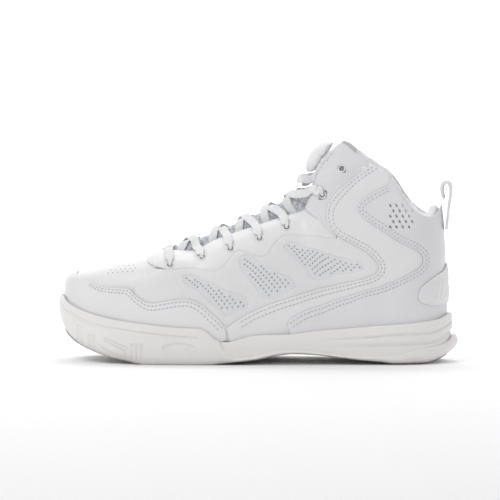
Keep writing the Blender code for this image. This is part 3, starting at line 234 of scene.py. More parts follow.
def skin(s, t, out):
    """Points that lie out outside the upper's surface."""
    s, t = np.broadcast_arrays(np.asarray(s, float), np.asarray(t, float))
    step = 0.4 * MM
    along = upper(s + step, t) - upper(s - step, t)
    rise = upper(s, np.clip(t + 0.004, 0, 1)) - upper(s, np.clip(t - 0.004, 0, 1))
    normal = np.cross(along, rise)
    normal /= np.linalg.norm(normal, axis=-1, keepdims=True)
    return upper(s, t) + normal * np.asarray(out, float)[..., None]


def surface_tree():
    """The lateral half of the upper as a search tree, with the s and t of its faces' middles."""
    ways = np.linspace(0, 1.08 * HEEL_S, 150)
    ups = np.linspace(0, 1, 50)
    points = upper(ways[:, None], ups[None, :]).reshape(-1, 3)
    faces, middles = [], []
    for i in range(len(ways) - 1):
        for j in range(len(ups) - 1):
            a = i * len(ups) + j
            faces.append((a, a + len(ups), a + len(ups) + 1, a + 1))
            middles.append(((ways[i] + ways[i + 1]) / 2, (ups[j] + ups[j + 1]) / 2))
    return BVHTree.FromPolygons(points.tolist(), faces), middles


TREE, MIDDLES = surface_tree()


def on_surface(x, z):
    """The s and t of the lateral point seen at x, z from the side."""
    hit = TREE.ray_cast(Vector((x, -1, z)), Vector((0, 1, 0)))
    if hit[2] is None:
        hit = TREE.find_nearest(Vector((x, 5 * MM, z)))
        return MIDDLES[hit[2]]
    s, t = MIDDLES[hit[2]]
    for _ in range(5):
        here = upper(s, t)[[0, 2]]
        ds = (upper(s + 1e-4, t)[[0, 2]] - here) / 1e-4
        dt = (upper(s, t + 1e-3)[[0, 2]] - here) / 1e-3
        move = np.linalg.solve(np.array([ds, dt]).T + np.eye(2) * 1e-9, np.array([x, z]) - here)
        s += float(np.clip(move[0], -0.004, 0.004))
        t += float(np.clip(move[1], -0.05, 0.05))
    return s, min(max(t, 0.0), 1.0)


def traced(pairs):
    """An outline given in mm, as s and t."""
    return [on_surface(x * MM, z * MM) for x, z in pairs]


def up_to(s, z):
    """The t at which the upper reaches height z at s."""
    ups = np.linspace(0, 1, 400)
    return float(np.interp(z, upper(s, ups)[:, 2], ups))


def tucked(s, below=3 * MM):
    """The t at which a panel ends behind the sole's side wall at s."""
    x = float(upper(s, 0.05)[0])
    return up_to(s, max(float(height(SOLE_TOP, x)) - below, float(height(FOOTBED, x)) + 1.2 * MM))


# Flat layout and sections

def inside(outline, points):
    """Whether each point is inside the outline."""
    x, y = points[:, 0], points[:, 1]
    found = np.zeros(len(points), bool)
    ring = np.asarray(outline)
    for (ax, ay), (bx, by) in zip(ring, np.roll(ring, -1, axis=0)):
        crosses = (ay > y) != (by > y)
        level = np.where(crosses, (bx - ax) * (y - ay) / (by - ay if by != ay else 1) + ax, 0)
        found ^= crosses & (x < level)
    return found


def distance_to(outline, points):
    """The distance of each point from the outline."""
    ring = np.asarray(outline)
    nearest = np.full(len(points), np.inf)
    for a, b in zip(ring, np.roll(ring, -1, axis=0)):
        along = b - a
        share = np.clip(((points - a) @ along) / max(along @ along, 1e-18), 0, 1)
        nearest = np.minimum(nearest, np.linalg.norm(points - a - share[:, None] * along, axis=1))
    return nearest


def profile_length(s):
    """How long the upper's profile is at s."""
    line = upper(np.asarray(s)[:, None], np.linspace(0, 1, 24)[None, :])
    return np.linalg.norm(np.diff(line, axis=1), axis=2).sum(axis=1)


def flat(pairs):
    """s and t laid out flat at about their real lengths."""
    pairs = np.asarray(pairs, float)
    return np.stack([pairs[:, 0], pairs[:, 1] * profile_length(pairs[:, 0])], axis=1)


def inner_wall(s):
    """How far outside the upper's surface the inner face of the sole's side wall lies at s."""
    way = np.abs((np.asarray(s) + HEEL_S) % (2 * HEEL_S) - HEEL_S)
    return np.interp(way, [0, 0.05, 0.075, 0.1, 0.165, 0.186, HEEL_S],
                     np.array([-0.6, -0.5, 0.5, 0.9, 0.9, 2.2, 2.2]) * MM)


def sole_ways(count, extra=()):
    """Places round the sole edge, the same on both sides, with extra ones where a height changes fast."""
    even = np.linspace(0, HEEL_S, count // 2 + 1)
    far = [way for way in even if all(abs(way - other) > 2.2 * MM for other in extra)]
    way = np.array(sorted([*far, *extra]))
    return np.concatenate([way, -way[1:-1][::-1]])


def sole_ring(ways, out, z):
    """A ring round the shoe, out outside the inner face of the side wall, at height z of x."""
    base = upper(ways, 0.0)
    normal = skin(ways, 0.02, 1.0) - upper(ways, 0.02)
    normal[:, 2] = 0
    normal /= np.linalg.norm(normal, axis=1, keepdims=True)
    reach = inner_wall(ways) + (out(ways) if callable(out) else out)
    points = base + normal * reach[:, None]
    points[:, 2] = z(points[:, 0])
    return points


def flare(most):
    """Extra width of the heel rubber, growing towards the back."""
    return lambda s: most * np.clip((np.abs(s) / HEEL_S - 0.78) / 0.22, 0, 1) ** 2


def blend_heights(low, high, share, raised=0.0):
    return lambda x: height(low, x) * (1 - share) + height(high, x) * share + raised


def rubber_rings(ways, grown):
    """The outsole's rings, from under the sole round the edge and down inside, grown on every side."""
    edge = SOLE_WALL

    def outer(extra, most):
        return lambda s: edge + extra + flare(most)(s)

    def floor(x):
        thickness = np.minimum(height(RUBBER_TOP, x) - height(GROUND, x) - 0.6 * MM, 3.2 * MM)
        return height(GROUND, x) + np.maximum(thickness, 1.2 * MM)

    return [
        sole_ring(ways, -16 * MM, lambda x: height(GROUND, x) - grown),
        sole_ring(ways, outer(-5.5 * MM, 0), lambda x: height(GROUND, x) - grown),
        sole_ring(ways, outer(-1.3 * MM + grown, 2.2 * MM),
                  blend_heights(GROUND, RUBBER_TOP, 0.16, 0.6 * MM - grown)),
        sole_ring(ways, outer(0.2 * MM + grown, 3.9 * MM), blend_heights(GROUND, RUBBER_TOP, 0.5)),
        sole_ring(ways, outer(grown, 2.6 * MM), blend_heights(GROUND, RUBBER_TOP, 0.86)),
        sole_ring(ways, outer(-0.7 * MM + grown, 1.4 * MM), lambda x: height(RUBBER_TOP, x) + grown),
        sole_ring(ways, -grown, lambda x: height(RUBBER_TOP, x) - 0.25 * MM + grown),
        sole_ring(ways, -0.4 * MM - grown, lambda x: floor(x) + grown),
        sole_ring(ways, -16 * MM, lambda x: floor(x) + grown),
    ]


def midsole_top(x):
    """Height of the midsole's edge: the sole line behind the rubber cup, the footbed inside it."""
    cup = np.clip((x + 25 * MM) / (3.5 * MM), 0, 1)
    inner = height(FOOTBED, x) - 1.6 * MM
    return inner + (height(SOLE_TOP, x) - inner) * cup


def toe_overlay_out(way, rise):
    """The toe overlay lies on the vamp in front and on the quarter behind."""
    return np.interp(np.abs(way), [0.060, 0.080], [-1.2 * MM, STRIPE_OUT])


def flap_out(way, rise):
    """The flap lies on the eyestay in front and under the stripe behind."""
    point = upper(way, rise)
    line = np.array(STRIPE_EDGE[15:], float) * MM
    edge = np.interp(point[:, 2], line[:, 1], line[:, 0])
    edge = edge + np.maximum(point[:, 2] - line[-1, 1], 0) * 2
    return FLAP_OUT - 1.7 * MM * np.clip((point[:, 0] - edge + 12 * MM) / (6 * MM), 0, 1)


def eyelet_places():
    return traced(EYELETS)


def lining_top(s):
    """Height at which the thin lining ends under the padded collar, or just under the flap's edge."""
    return float(np.interp(s, np.array([200, 206, 213, 226, 234, 244, 256, 270, 290, 317]) * MM,
                           np.array([104, 108, 124, 146, 132, 104, 92, 78, 74, 74]) * MM))


def in_from(outline, distance):
    """The outline moved inwards, in s and t."""
    ring = flat(outline)
    before, after = np.roll(ring, 1, axis=0), np.roll(ring, -1, axis=0)
    along = after - before
    along /= np.linalg.norm(along, axis=1, keepdims=True)
    area = np.sum(ring[:, 0] * after[:, 1] - ring[:, 1] * after[:, 0])
    inward = np.stack([-along[:, 1], along[:, 0]], axis=1) * np.sign(area)
    moved = ring + inward * distance
    return [(s, t / length) for (s, t), length in zip(moved, profile_length(moved[:, 0]))]


def collar_point(s, z, out, top):
    point = skin(s, min(up_to(s, z), 0.985), out)
    return np.array([point[0], point[1], z])


def tongue_row(s, out, across=(0.80, 0.87, 0.94, 1.0)):
    """One row of the tongue's face, from its lateral to its medial edge."""
    line = np.array(TONGUE_LINE, float) * MM
    middle = np.array([through(line[:, 0], line[:, 1], np.array([s]))[0], 4 * MM,
                       through(line[:, 0], line[:, 2], np.array([s]))[0]])
    rise = np.array(across)
    lateral = skin(s, rise, -7.0 * MM)
    medial = skin(-s, rise, -7.0 * MM)[::-1]
    middle[1] = (lateral[-1][1] + medial[0][1]) / 2
    arch = []
    for share in (0.22, 0.5, 0.78):
        lift = 1 - (2 * share - 1) ** 4
        chord = lateral[-1] + (medial[0] - lateral[-1]) * share
        peak = chord.copy()
        peak[[0, 2]] = middle[[0, 2]]
        arch.append(chord + (peak - chord) * lift)
    row = np.concatenate([lateral, arch, medial])
    row[:, 2] -= out
    return row


def way_back(side, s, t):
    """The direction of the upper towards the heel at a place."""
    way = upper(side * (s + MM), t) - upper(side * (s - MM), t)
    return way / np.linalg.norm(way)


def beside(side, s, t, out, width=1.0):
    """A place of the lace on or under the side of the upper: position, width, direction of its width."""
    return skin(side * s, min(t, 0.99), out), width * LACE_WIDTH, way_back(side, s, t)


def over_tongue(s, share, raised, width=1.0):
    """A place of the lace over the tongue, share of the way from the lateral to the medial throat edge."""
    step = 0.5 * MM
    shares = [0, 0.22, 0.5, 0.78, 1]

    def face(way, across):
        row = tongue_row(way, 0.0)[3:8]
        return np.array([np.interp(across, shares, row[:, i]) for i in range(3)])

    along = face(s + step, share) - face(s - step, share)
    across = face(s, min(share + 0.1, 1)) - face(s, max(share - 0.1, 0))
    up = np.cross(along, across)
    up *= np.sign(up[2]) / np.linalg.norm(up)
    return face(s, share) + up * raised, width * LACE_WIDTH, along / np.linalg.norm(along)


def eyelet_pass(side, s, t, face, arrive, leave):
    """The lace over the edge of the throat, in through an eyelet from outside and back up under the panel."""
    def at(way, rise, clear, width=1.0):
        outer = float(face(np.array([way]), np.array([rise]))[0])
        return beside(side, way, rise, outer + clear, width)

    over, under = 1.5 * MM, -SHEET - 1.3 * MM
    edge = [at(arrive, 0.99, over + 0.8 * MM)]
    reach = edge + [at(arrive + (s - arrive) * f, 0.985 + (t - 0.985) * f, over)
                    for f in (0.14, 0.32, 0.56, 0.78)]
    hole = [
        at(s, t + 0.04, over, 0.48),
        at(s, t + 0.004, over - 0.7 * MM, 0.36),
        at(s, t, -SHEET / 2, 0.36),
        at(s, t + 0.004, under + 0.5 * MM, 0.4),
        at(s, t + 0.04, under, 0.5),
    ]
    back = [at(leave + (s - leave) * f, 0.965 + (t - 0.965) * f, under) for f in (0.78, 0.56, 0.28)]
    out = [at(leave, 0.965, under - 0.4 * MM, 0.85), at(leave + 0.5 * MM, 0.988, -3.6 * MM, 0.8)]
    return reach + hole + back + out


def eyestay_face(way, rise):
    return np.full(len(way), EYESTAY_OUT)


def lace_half(places, side, raised):
    """Half of the lace, from the bar over the first pair of eyelets to its tucked end."""
    first = places[0][0]
    line = [over_tongue(first - 3 * MM, 0.5, 1.6 * MM)]
    for number, (s, t) in enumerate(places):
        top = number == LACED - 1
        before = places[max(number - 1, 0)][0]
        after = places[min(number + 1, LACED - 1)][0]
        share = 0.5 - 0.5 * side
        if number:
            clear, back = (3.2 * MM, 0.52) if top else (2.0 * MM, 0.36)
            line.append(over_tongue(s - back * (s - before), share + 0.25 * side, clear))
        else:
            line.append(over_tongue(first - 3 * MM, share + 0.25 * side, 1.7 * MM))
        arrive = s - 8.5 * MM if top else s - max(0.22 * (s - before), 3 * MM)
        leave = s + 0.15 * (after - s) if not top else s - 3 * MM
        line += eyelet_pass(side, s, t, flap_out if top else eyestay_face, arrive, leave)
        if not top:
            middle, clear = (0.36, 2.6 * MM) if number == LACED - 2 else (0.5, 1.95 * MM)
            line.append(over_tongue(s + 0.5 * middle * (after - s), share + 0.17 * side, 1.45 * MM))
            line.append(over_tongue(s + 0.66 * middle * (after - s), share + 0.28 * side, clear))
            line.append(over_tongue(s + middle * (after - s), 0.5, raised))
            side = -side
    line.append((np.array([38.6, -side * 14.8, 127.6]) * MM, 0.9 * LACE_WIDTH, np.array([0.3, 0, 0.95])))
    line.append((np.array([32.5, -side * 14, 127.8]) * MM, 0.9 * LACE_WIDTH, np.array([0.3, 0, 0.95])))
    line.append((np.array([28.9, -side * 8, 127.4]) * MM, 0.9 * LACE_WIDTH, np.array([0.3, 0, 0.95])))
    line.append((np.array([28.6, -side * 1.2, 127.4]) * MM, 0.9 * LACE_WIDTH, np.array([0.3, 0, 0.95])))
    return line


def rounded(knots, values, at):
    """A curve through the points that turns smoothly at each."""
    slope = 0.75 * np.gradient(values, knots)
    i = np.clip(np.searchsorted(knots, at, side="right") - 1, 0, len(knots) - 2)
    step = knots[i + 1] - knots[i]
    u = (at - knots[i]) / step
    return (values[i] * (1 + 2 * u) * (1 - u) ** 2 + slope[i] * step * u * (1 - u) ** 2
            + values[i + 1] * u * u * (3 - 2 * u) + slope[i + 1] * step * u * u * (u - 1))


# Materials

def new_material(name, colour, rough, sheen=0.0, coat=0.0):
    """A material with its shader, and its node tree to build on."""
    material = bpy.data.materials.new(name)
    material.use_nodes = True
    tree = material.node_tree
    shader = tree.nodes["Principled BSDF"]
    shader.inputs["Base Color"].default_value = (*colour, 1)
    shader.inputs["Roughness"].default_value = rough
    shader.inputs["Sheen Weight"].default_value = sheen
    shader.inputs["Coat Weight"].default_value = coat
    return material, tree, shader


def noise(tree, scale, detail=4.0, source="Object"):
    place = tree.nodes.new("ShaderNodeTexCoord")
    texture = tree.nodes.new("ShaderNodeTexNoise")
    texture.inputs["Scale"].default_value = scale
    texture.inputs["Detail"].default_value = detail
    tree.links.new(place.outputs[source], texture.inputs["Vector"])
    return texture


def cells(tree, scale, source="Object"):
    place = tree.nodes.new("ShaderNodeTexCoord")
    texture = tree.nodes.new("ShaderNodeTexVoronoi")
    texture.inputs["Scale"].default_value = scale
    tree.links.new(place.outputs[source], texture.inputs["Vector"])
    return texture


def bumped(tree, shader, value, strength, distance, normal=None):
    """Adds a bump from a value, on top of an earlier one."""
    bump = tree.nodes.new("ShaderNodeBump")
    bump.inputs["Strength"].default_value = strength
    bump.inputs["Distance"].default_value = distance
    tree.links.new(value, bump.inputs["Height"])
    if normal is not None:
        tree.links.new(normal, bump.inputs["Normal"])
    tree.links.new(bump.outputs["Normal"], shader.inputs["Normal"])
    return bump.outputs["Normal"]


def shaded(tree, shader, value, dark, light, low=0.3, high=0.7):
    """Colour between two tones by a value."""
    ramp = tree.nodes.new("ShaderNodeValToRGB")
    ramp.color_ramp.elements[0].position = low
    ramp.color_ramp.elements[0].color = (*dark, 1)
    ramp.color_ramp.elements[1].position = high
    ramp.color_ramp.elements[1].color = (*light, 1)
    tree.links.new(value, ramp.inputs["Fac"])
    tree.links.new(ramp.outputs["Color"], shader.inputs["Base Color"])
    return ramp


def roughened(tree, shader, value, low, high):
    spread = tree.nodes.new("ShaderNodeMapRange")
    spread.inputs["To Min"].default_value = low
    spread.inputs["To Max"].default_value = high
    tree.links.new(value, spread.inputs["Value"])
    tree.links.new(spread.outputs["Result"], shader.inputs["Roughness"])


def leather(name, light, dark, grain=950.0, rough=(0.38, 0.52)):
    """Smooth coated leather: fine pebbled grain, soft creases and slight marks."""
    material, tree, shader = new_material(name, light, 0.45, coat=0.08)
    pebble = cells(tree, grain)
    crease = noise(tree, 240.0, 5.0)
    broad = noise(tree, 26.0, 3.0)
    normal = bumped(tree, shader, pebble.outputs["Distance"], 0.22, 0.00012)
    bumped(tree, shader, crease.outputs["Fac"], 0.16, 0.0003, normal)
    shaded(tree, shader, broad.outputs["Fac"], dark, light, 0.25, 0.7)
    roughened(tree, shader, crease.outputs["Fac"], *rough)
    return material


def rubber(name, light, dark):
    material, tree, shader = new_material(name, light, 0.5)
    fine = noise(tree, 1500.0, 3.0)
    broad = noise(tree, 18.0, 4.0)
    bumped(tree, shader, fine.outputs["Fac"], 0.10, 0.0001)
    shaded(tree, shader, broad.outputs["Fac"], dark, light, 0.3, 0.75)
    roughened(tree, shader, broad.outputs["Fac"], 0.42, 0.6)
    return material


def cloth(name, light, dark, scale, strength=0.5, depth=0.0004, sheen=0.3):
    """Knit or mesh: small cells in relief, darker in the pits as painted shade."""
    material, tree, shader = new_material(name, light, 0.85, sheen=sheen)
    knit = cells(tree, scale)
    fuzz = noise(tree, 1800.0, 2.0)
    normal = bumped(tree, shader, knit.outputs["Distance"], strength, depth)
    bumped(tree, shader, fuzz.outputs["Fac"], 0.15, 0.0001, normal)
    # Painted shade: the tone darkens into the pits of the cells.
    shaded(tree, shader, knit.outputs["Distance"], light, dark, 0.25, 0.8)
    return material


def woven(name, light, dark, along, across, ribs=0.5):
    """Woven tape in its own layout: u across and v along, in metres; the dark mortar between the ribs is
    painted shade.
    """
    material, tree, shader = new_material(name, light, 0.75, sheen=0.2)
    place = tree.nodes.new("ShaderNodeTexCoord")
    stretch = tree.nodes.new("ShaderNodeMapping")
    stretch.inputs["Scale"].default_value = (across, along, 1)
    tree.links.new(place.outputs["UV"], stretch.inputs["Vector"])
    brick = tree.nodes.new("ShaderNodeTexBrick")
    brick.inputs["Scale"].default_value = 1.0
    brick.inputs["Color1"].default_value = (*light, 1)
    brick.inputs["Color2"].default_value = (*[c * 0.96 for c in light], 1)
    # Painted shade: dark mortar lines in the grooves between the ribs.
    brick.inputs["Mortar"].default_value = (*dark, 1)
    brick.inputs["Mortar Size"].default_value = 0.06
    brick.inputs["Mortar Smooth"].default_value = 0.8
    brick.inputs["Brick Width"].default_value = 1.0
    brick.inputs["Row Height"].default_value = 0.5
    tree.links.new(stretch.outputs["Vector"], brick.inputs["Vector"])
    tree.links.new(brick.outputs["Color"], shader.inputs["Base Color"])
    invert = tree.nodes.new("ShaderNodeMath")
    invert.operation = "SUBTRACT"
    invert.inputs[0].default_value = 1.0
    tree.links.new(brick.outputs["Fac"], invert.inputs[1])
    bumped(tree, shader, invert.outputs[0], ribs, 0.0003)
    return material


UPPER = leather("upper_leather", (0.80, 0.80, 0.81), (0.75, 0.75, 0.76))
# The ankle leather is the upper leather a little darker: its lower tone is painted shade of the ankle area
# and rear quarter; its grain and roughness differ too.
ANKLE_SHADED = leather("ankle_leather_painted_shade", (0.76, 0.76, 0.775), (0.71, 0.71, 0.725), grain=800.0, rough=(0.42, 0.58))
PANEL = leather("quarter_leather", (0.78, 0.78, 0.79), (0.73, 0.73, 0.74))
VENT = leather("window_leather", (0.74, 0.745, 0.755), (0.69, 0.695, 0.705), grain=1300.0, rough=(0.5, 0.62))
RUBBER = rubber("sole_rubber", (0.82, 0.80, 0.795), (0.78, 0.76, 0.755))
FOAM = rubber("midsole_foam", (0.83, 0.805, 0.80), (0.79, 0.765, 0.76))
KNIT = cloth("lining_knit", (0.88, 0.88, 0.89), (0.76, 0.76, 0.78), 900.0)
MESH = cloth("tongue_mesh", (0.74, 0.76, 0.80), (0.42, 0.45, 0.50), 520.0, 0.8, 0.0006)
SOCK = cloth("insole_cloth", (0.88, 0.88, 0.89), (0.76, 0.76, 0.78), 700.0)
BOARD = cloth("stiffener_board", (0.66, 0.65, 0.62), (0.55, 0.54, 0.52), 300.0, 0.2, 0.0002, 0.0)
THREAD = woven("thread", (0.88, 0.88, 0.89), (0.70, 0.70, 0.72), 2500.0, 1200.0)
LACE = woven("lace_cotton", (0.95, 0.95, 0.955), (0.80, 0.80, 0.81), 1500.0, 900.0, 0.6)
WEBBING = woven("webbing", (0.93, 0.93, 0.935), (0.78, 0.78, 0.79), 1100.0, 450.0, 0.6)
# A real backing layer whose grey tone is painted shade seen through the window holes.
BACKING_AND_HOLE_SHADE = cloth("backing_tricot_and_hole_shade", (0.78, 0.78, 0.79), (0.62, 0.62, 0.64), 1400.0, 0.4, 0.0002)
# Painted shade of the needle holes between stitches.
NEEDLE_HOLE_SHADE = new_material("needle_hole_shade", (0.42, 0.42, 0.44), 0.9)[0]
# Painted shade of punched holes, drawn as dark discs.
PERFORATION_SHADE = new_material("perforation_shade", (0.34, 0.34, 0.36), 0.9)[0]


# Mesh building

def piece(name, points, faces, material, body=BODY, replaces=(), uv=None):
    """A smooth mesh piece on a body."""
    mesh = bpy.data.meshes.new(name)
    mesh.from_pydata(np.asarray(points, float).tolist(), [], [list(map(int, face)) for face in faces])
    mesh.materials.append(material)
    mesh.shade_smooth()
    if uv is not None:
        layer = mesh.uv_layers.new(name="UVMap")
        corner = np.zeros(len(mesh.loops), int)
        mesh.loops.foreach_get("vertex_index", corner)
        layer.data.foreach_set("uv", np.asarray(uv)[corner].ravel())
    made = bpy.data.objects.new(name, mesh)
    bpy.context.scene.collection.objects.link(made)
    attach(made, body)
    if replaces:
        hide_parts(*replaces)
    return made


def outward(made):
    """The piece's faces turned to face out."""
    mesh = bmesh.new()
    mesh.from_mesh(made.data)
    bmesh.ops.recalc_face_normals(mesh, faces=mesh.faces)
    if mesh.calc_volume(signed=True) < 0:
        bmesh.ops.reverse_faces(mesh, faces=mesh.faces)
    mesh.to_mesh(made.data)
    mesh.free()
    made.data.shade_smooth()
    return made


def eased(outline, step):
    """A flat outline redrawn through its points with smooth turns, kept sharp at its corners."""
    ring = np.asarray(outline, float)
    before, after = np.roll(ring, 1, axis=0), np.roll(ring, -1, axis=0)
    come, go = ring - before, after - ring
    long_in, long_out = np.linalg.norm(come, axis=1), np.linalg.norm(go, axis=1)
    turn = np.sum(come * go, axis=1) / np.maximum(long_in * long_out, 1e-12)
    smooth = turn > 0.45
    found = []
    for i in range(len(ring)):
        j = (i + 1) % len(ring)
        length = long_out[i]
        count = max(1, int(round(length / step)))
        chord = go[i] / max(length, 1e-12)
        start = come[i] / long_in[i] * long_out[i] + go[i] / long_out[i] * long_in[i]
        start = start / (long_in[i] + long_out[i])
        finish = come[j] / long_in[j] * long_out[j] + go[j] / long_out[j] * long_in[j]
        finish = finish / (long_in[j] + long_out[j])
        start = start if smooth[i] else chord
        finish = finish if smooth[j] else chord
        for k in range(count):
            u = k / count
            found.append(ring[i] * (1 + 2 * u) * (1 - u) ** 2 + start * length * u * (1 - u) ** 2
                         + ring[j] * u * u * (3 - 2 * u) + finish * length * u * u * (u - 1))
    return np.array(found)


def inset(ring, distance):
    """A flat ring moved inwards."""
    before, after = np.roll(ring, 1, axis=0), np.roll(ring, -1, axis=0)
    along = after - before
    along /= np.maximum(np.linalg.norm(along, axis=1, keepdims=True), 1e-12)
    area = np.sum(ring[:, 0] * after[:, 1] - ring[:, 1] * after[:, 0])
    return ring + np.stack([-along[:, 1], along[:, 0]], axis=1) * np.sign(area) * distance


def nearest_distance(rings, points):
    """The distance of each point from the closest of the rings."""
    found = np.full(len(points), np.inf)
    for ring in rings:
        low, high = ring.min(axis=0) - 4 * MM, ring.max(axis=0) + 4 * MM
        near = np.all((points > low) & (points < high), axis=1)
        if near.any():
            found[near] = np.minimum(found[near], distance_to(ring, points[near]))
    return found


def fine_flat(outline, holes, facet, roll, hole_facet=None):
    """Flat points, triangles and edge distance of a panel, with rows of points along its rolled edge."""
    rings = [eased(outline, facet)] + [eased(hole, hole_facet or facet) for hole in holes]
    extra = [inset(rings[0], roll * share) for share in (0.12, 0.45, 1.0)]
    for ring in rings[1:]:
        extra.append(inset(ring, -roll * 0.3))
        extra.append(inset(ring, -roll * 0.9))
    low, high = rings[0].min(axis=0), rings[0].max(axis=0)
    rows = [
        (x + (row % 2) * facet / 2, y)
        for row, y in enumerate(np.arange(low[1], high[1], facet * 0.87))
        for x in np.arange(low[0], high[0], facet)
    ]
    grid = np.array(rows)
    keep = inside(rings[0], grid)
    for ring in rings[1:]:
        keep &= ~inside(ring, grid)
    grid = grid[keep]
    grid = grid[nearest_distance(rings, grid) > roll + 0.45 * facet]
    border = np.concatenate(extra)
    keep = inside(rings[0], border)
    for ring in rings[1:]:
        keep &= ~inside(ring, border)
    border = border[keep]
    border = border[nearest_distance(rings, border) > 0.09 * roll]
    points = np.concatenate([*rings, border, grid])
    edges, start = [], 0
    for ring in rings:
        edges += [(start + i, start + (i + 1) % len(ring)) for i in range(len(ring))]
        start += len(ring)
    made = delaunay_2d_cdt([Vector(p) for p in points], edges, [], 0, 1e-7)
    points = np.array([tuple(p) for p in made[0]])
    faces = np.array([face for face in made[2] if len(face) == 3])
    middles = points[faces].mean(axis=1)
    keep = inside(rings[0], middles)
    for ring in rings[1:]:
        keep &= ~inside(ring, middles)
    faces = faces[keep]
    used = np.unique(faces)
    number = np.zeros(len(points), int)
    number[used] = np.arange(len(used))
    points = points[used]
    return points, number[faces], nearest_distance(rings, points)


def rolled(distance, roll):
    """How far the face drops towards a rolled edge."""
    share = np.clip(1 - distance / roll, 0, 1)
    return roll * (1 - np.sqrt(np.maximum(1 - share ** 2, 0)))


def fine_panel(name, outline, out, material, holes=(), thick=SHEET, roll=0.6 * MM, facet=2.4 * MM,
               relief=None, hole_facet=None, sides=(1, -1), replaced=None):
    """The fine version of a panel on one or both sides."""
    rings = [flat(hole) for hole in holes]
    points, faces, distance = fine_flat(flat(outline), rings, facet, roll, hole_facet)
    rise = np.clip(points[:, 1] / profile_length(points[:, 0]), 0, 1)
    way = points[:, 0]
    outer = out(way, rise) if callable(out) else np.full(len(way), out)
    face = outer - rolled(distance, roll)
    if relief is not None:
        face = face + relief(points, distance)
    made = []
    for side in sides:
        top = skin(side * way, rise, face)
        low = skin(side * way, rise, outer - thick)
        turned = faces if side > 0 else faces[:, ::-1]
        count = len(way)
        ends = np.concatenate([turned[:, [0, 1]], turned[:, [1, 2]], turned[:, [2, 0]]])
        key = set(map(tuple, ends.tolist()))
        rim = [(b, a, a + count, b + count) for a, b in key if (b, a) not in key]
        every = turned.tolist() + (turned[:, ::-1] + count).tolist() + rim
        label = name if len(sides) == 1 else name + ("_lateral" if side > 0 else "_medial")
        node = replaced or label
        points_3d = np.concatenate([top, low])
        made.append(piece(label + "_skin", points_3d, every, material, replaces=[node]))
    return made


# Stitches and holes

STITCH = [(-1, 0), (-0.72, 0.8), (0, 1), (0.72, 0.8), (1, 0)]


def needle_holes(places, name, pitch=2.75 * MM):
    """Small dark discs between one stitch and the next: painted shade of the needle holes."""
    points, faces = [], []
    for point, along, normal in places:
        across = np.cross(normal, along)
        middle = point + along * pitch / 2
        start = len(points)
        points.append(middle - normal * 0.04 * MM)
        for k in range(8):
            angle = 2 * np.pi * k / 8
            points.append(middle + along * np.cos(angle) * 0.42 * MM + across * np.sin(angle) * 0.5 * MM
                          + normal * 0.02 * MM)
        faces += [(start, start + 1 + k, start + 1 + (k + 1) % 8) for k in range(8)]
    return piece(name, points, faces, NEEDLE_HOLE_SHADE)


def stitch_mesh(places, name, material=None, length=2.1 * MM, width=0.62 * MM, height_=0.42 * MM):
    """Many stitches as one piece; places are (point, direction, normal)."""
    points, faces = [], []
    sides = 6
    for point, along, normal in places:
        across = np.cross(normal, along)
        start = len(points)
        for share, size in STITCH:
            for k in range(sides):
                angle = 2 * np.pi * k / sides
                round_ = across * np.cos(angle) * width / 2 + normal * np.sin(angle) * height_ / 2
                points.append(point + along * share * length / 2 + round_ * max(size, 0.25))
        for row in range(len(STITCH) - 1):
            for k in range(sides):
                a, b = start + row * sides + k, start + row * sides + (k + 1) % sides
                faces.append((a, b, b + sides, a + sides))
        faces.append([start + k for k in range(sides)][::-1])
        faces.append([start + (len(STITCH) - 1) * sides + k for k in range(sides)])
    return piece(name, points, faces, material or THREAD)


def along_line(line, pitch):
    """Places at an even pitch on a flat line."""
    far = np.concatenate([[0], np.cumsum(np.linalg.norm(np.diff(line, axis=0), axis=1))])
    at = np.arange(pitch * 0.5, far[-1], pitch)
    return np.stack([np.interp(at, far, line[:, i]) for i in range(2)], axis=1)


def open_line(outline, distance, step=1.2 * MM):
    """A smooth flat line beside an open outline of s and t, distance to its left."""
    points = flat(outline)
    far = np.concatenate([[0], np.cumsum(np.linalg.norm(np.diff(points, axis=0), axis=1))])
    at = np.arange(0, far[-1], step)
    line = np.stack([rounded(far, points[:, i], at) for i in range(2)], axis=1)
    along = np.gradient(line, axis=0)
    along /= np.linalg.norm(along, axis=1, keepdims=True)
    return line + np.stack([-along[:, 1], along[:, 0]], axis=1) * distance


def on_skin(points, side, out):
    """Points and normals on the upper from flat places."""
    rise = np.clip(points[:, 1] / profile_length(points[:, 0]), 0, 0.999)
    way = points[:, 0]
    level = out(way, rise) if callable(out) else np.full(len(way), out)
    place = skin(side * way, rise, level)
    normal = skin(side * way, rise, level + MM) - place
    return place, normal / np.linalg.norm(normal, axis=1, keepdims=True)


def seam(lines, out, raised=0.05 * MM, pitch=2.75 * MM, sides=(1, -1)):
    """Stitch places along flat lines on both sides of the shoe."""
    found = []
    for line in lines:
        for side in sides:
            places = along_line(line, pitch)
            point, normal = on_skin(places, side, lambda s, t: (out(s, t) if callable(out) else out) + raised)
            ahead, _ = on_skin(along_line(line, pitch) + np.gradient(places, axis=0) * 0.1, side,
                               lambda s, t: (out(s, t) if callable(out) else out) + raised)
            for a, b, n in zip(point, ahead, normal):
                way = b - a
                way /= max(np.linalg.norm(way), 1e-9)
                found.append((a, way, n))
    return found


def dots(name, places, out, radius, sides=(1, -1)):
    """Punched holes as small dark dishes just over a panel; their dark colour is painted shade of the holes.
    """
    points, faces = [], []
    for side in sides:
        place, normal = on_skin(np.asarray(places), side, out)
        for p, n in zip(place, normal):
            a = np.cross(n, (0, 0, 1.0))
            a /= np.linalg.norm(a)
            b = np.cross(n, a)
            start = len(points)
            points.append(p - n * 0.05 * MM)
            for k in range(12):
                angle = 2 * np.pi * k / 12
                points.append(p + (a * np.cos(angle) + b * np.sin(angle)) * radius + n * 0.03 * MM)
            faces += [(start, start + 1 + k, start + 1 + (k + 1) % 12) for k in range(12)]
    return piece(name, points, faces, PERFORATION_SHADE)


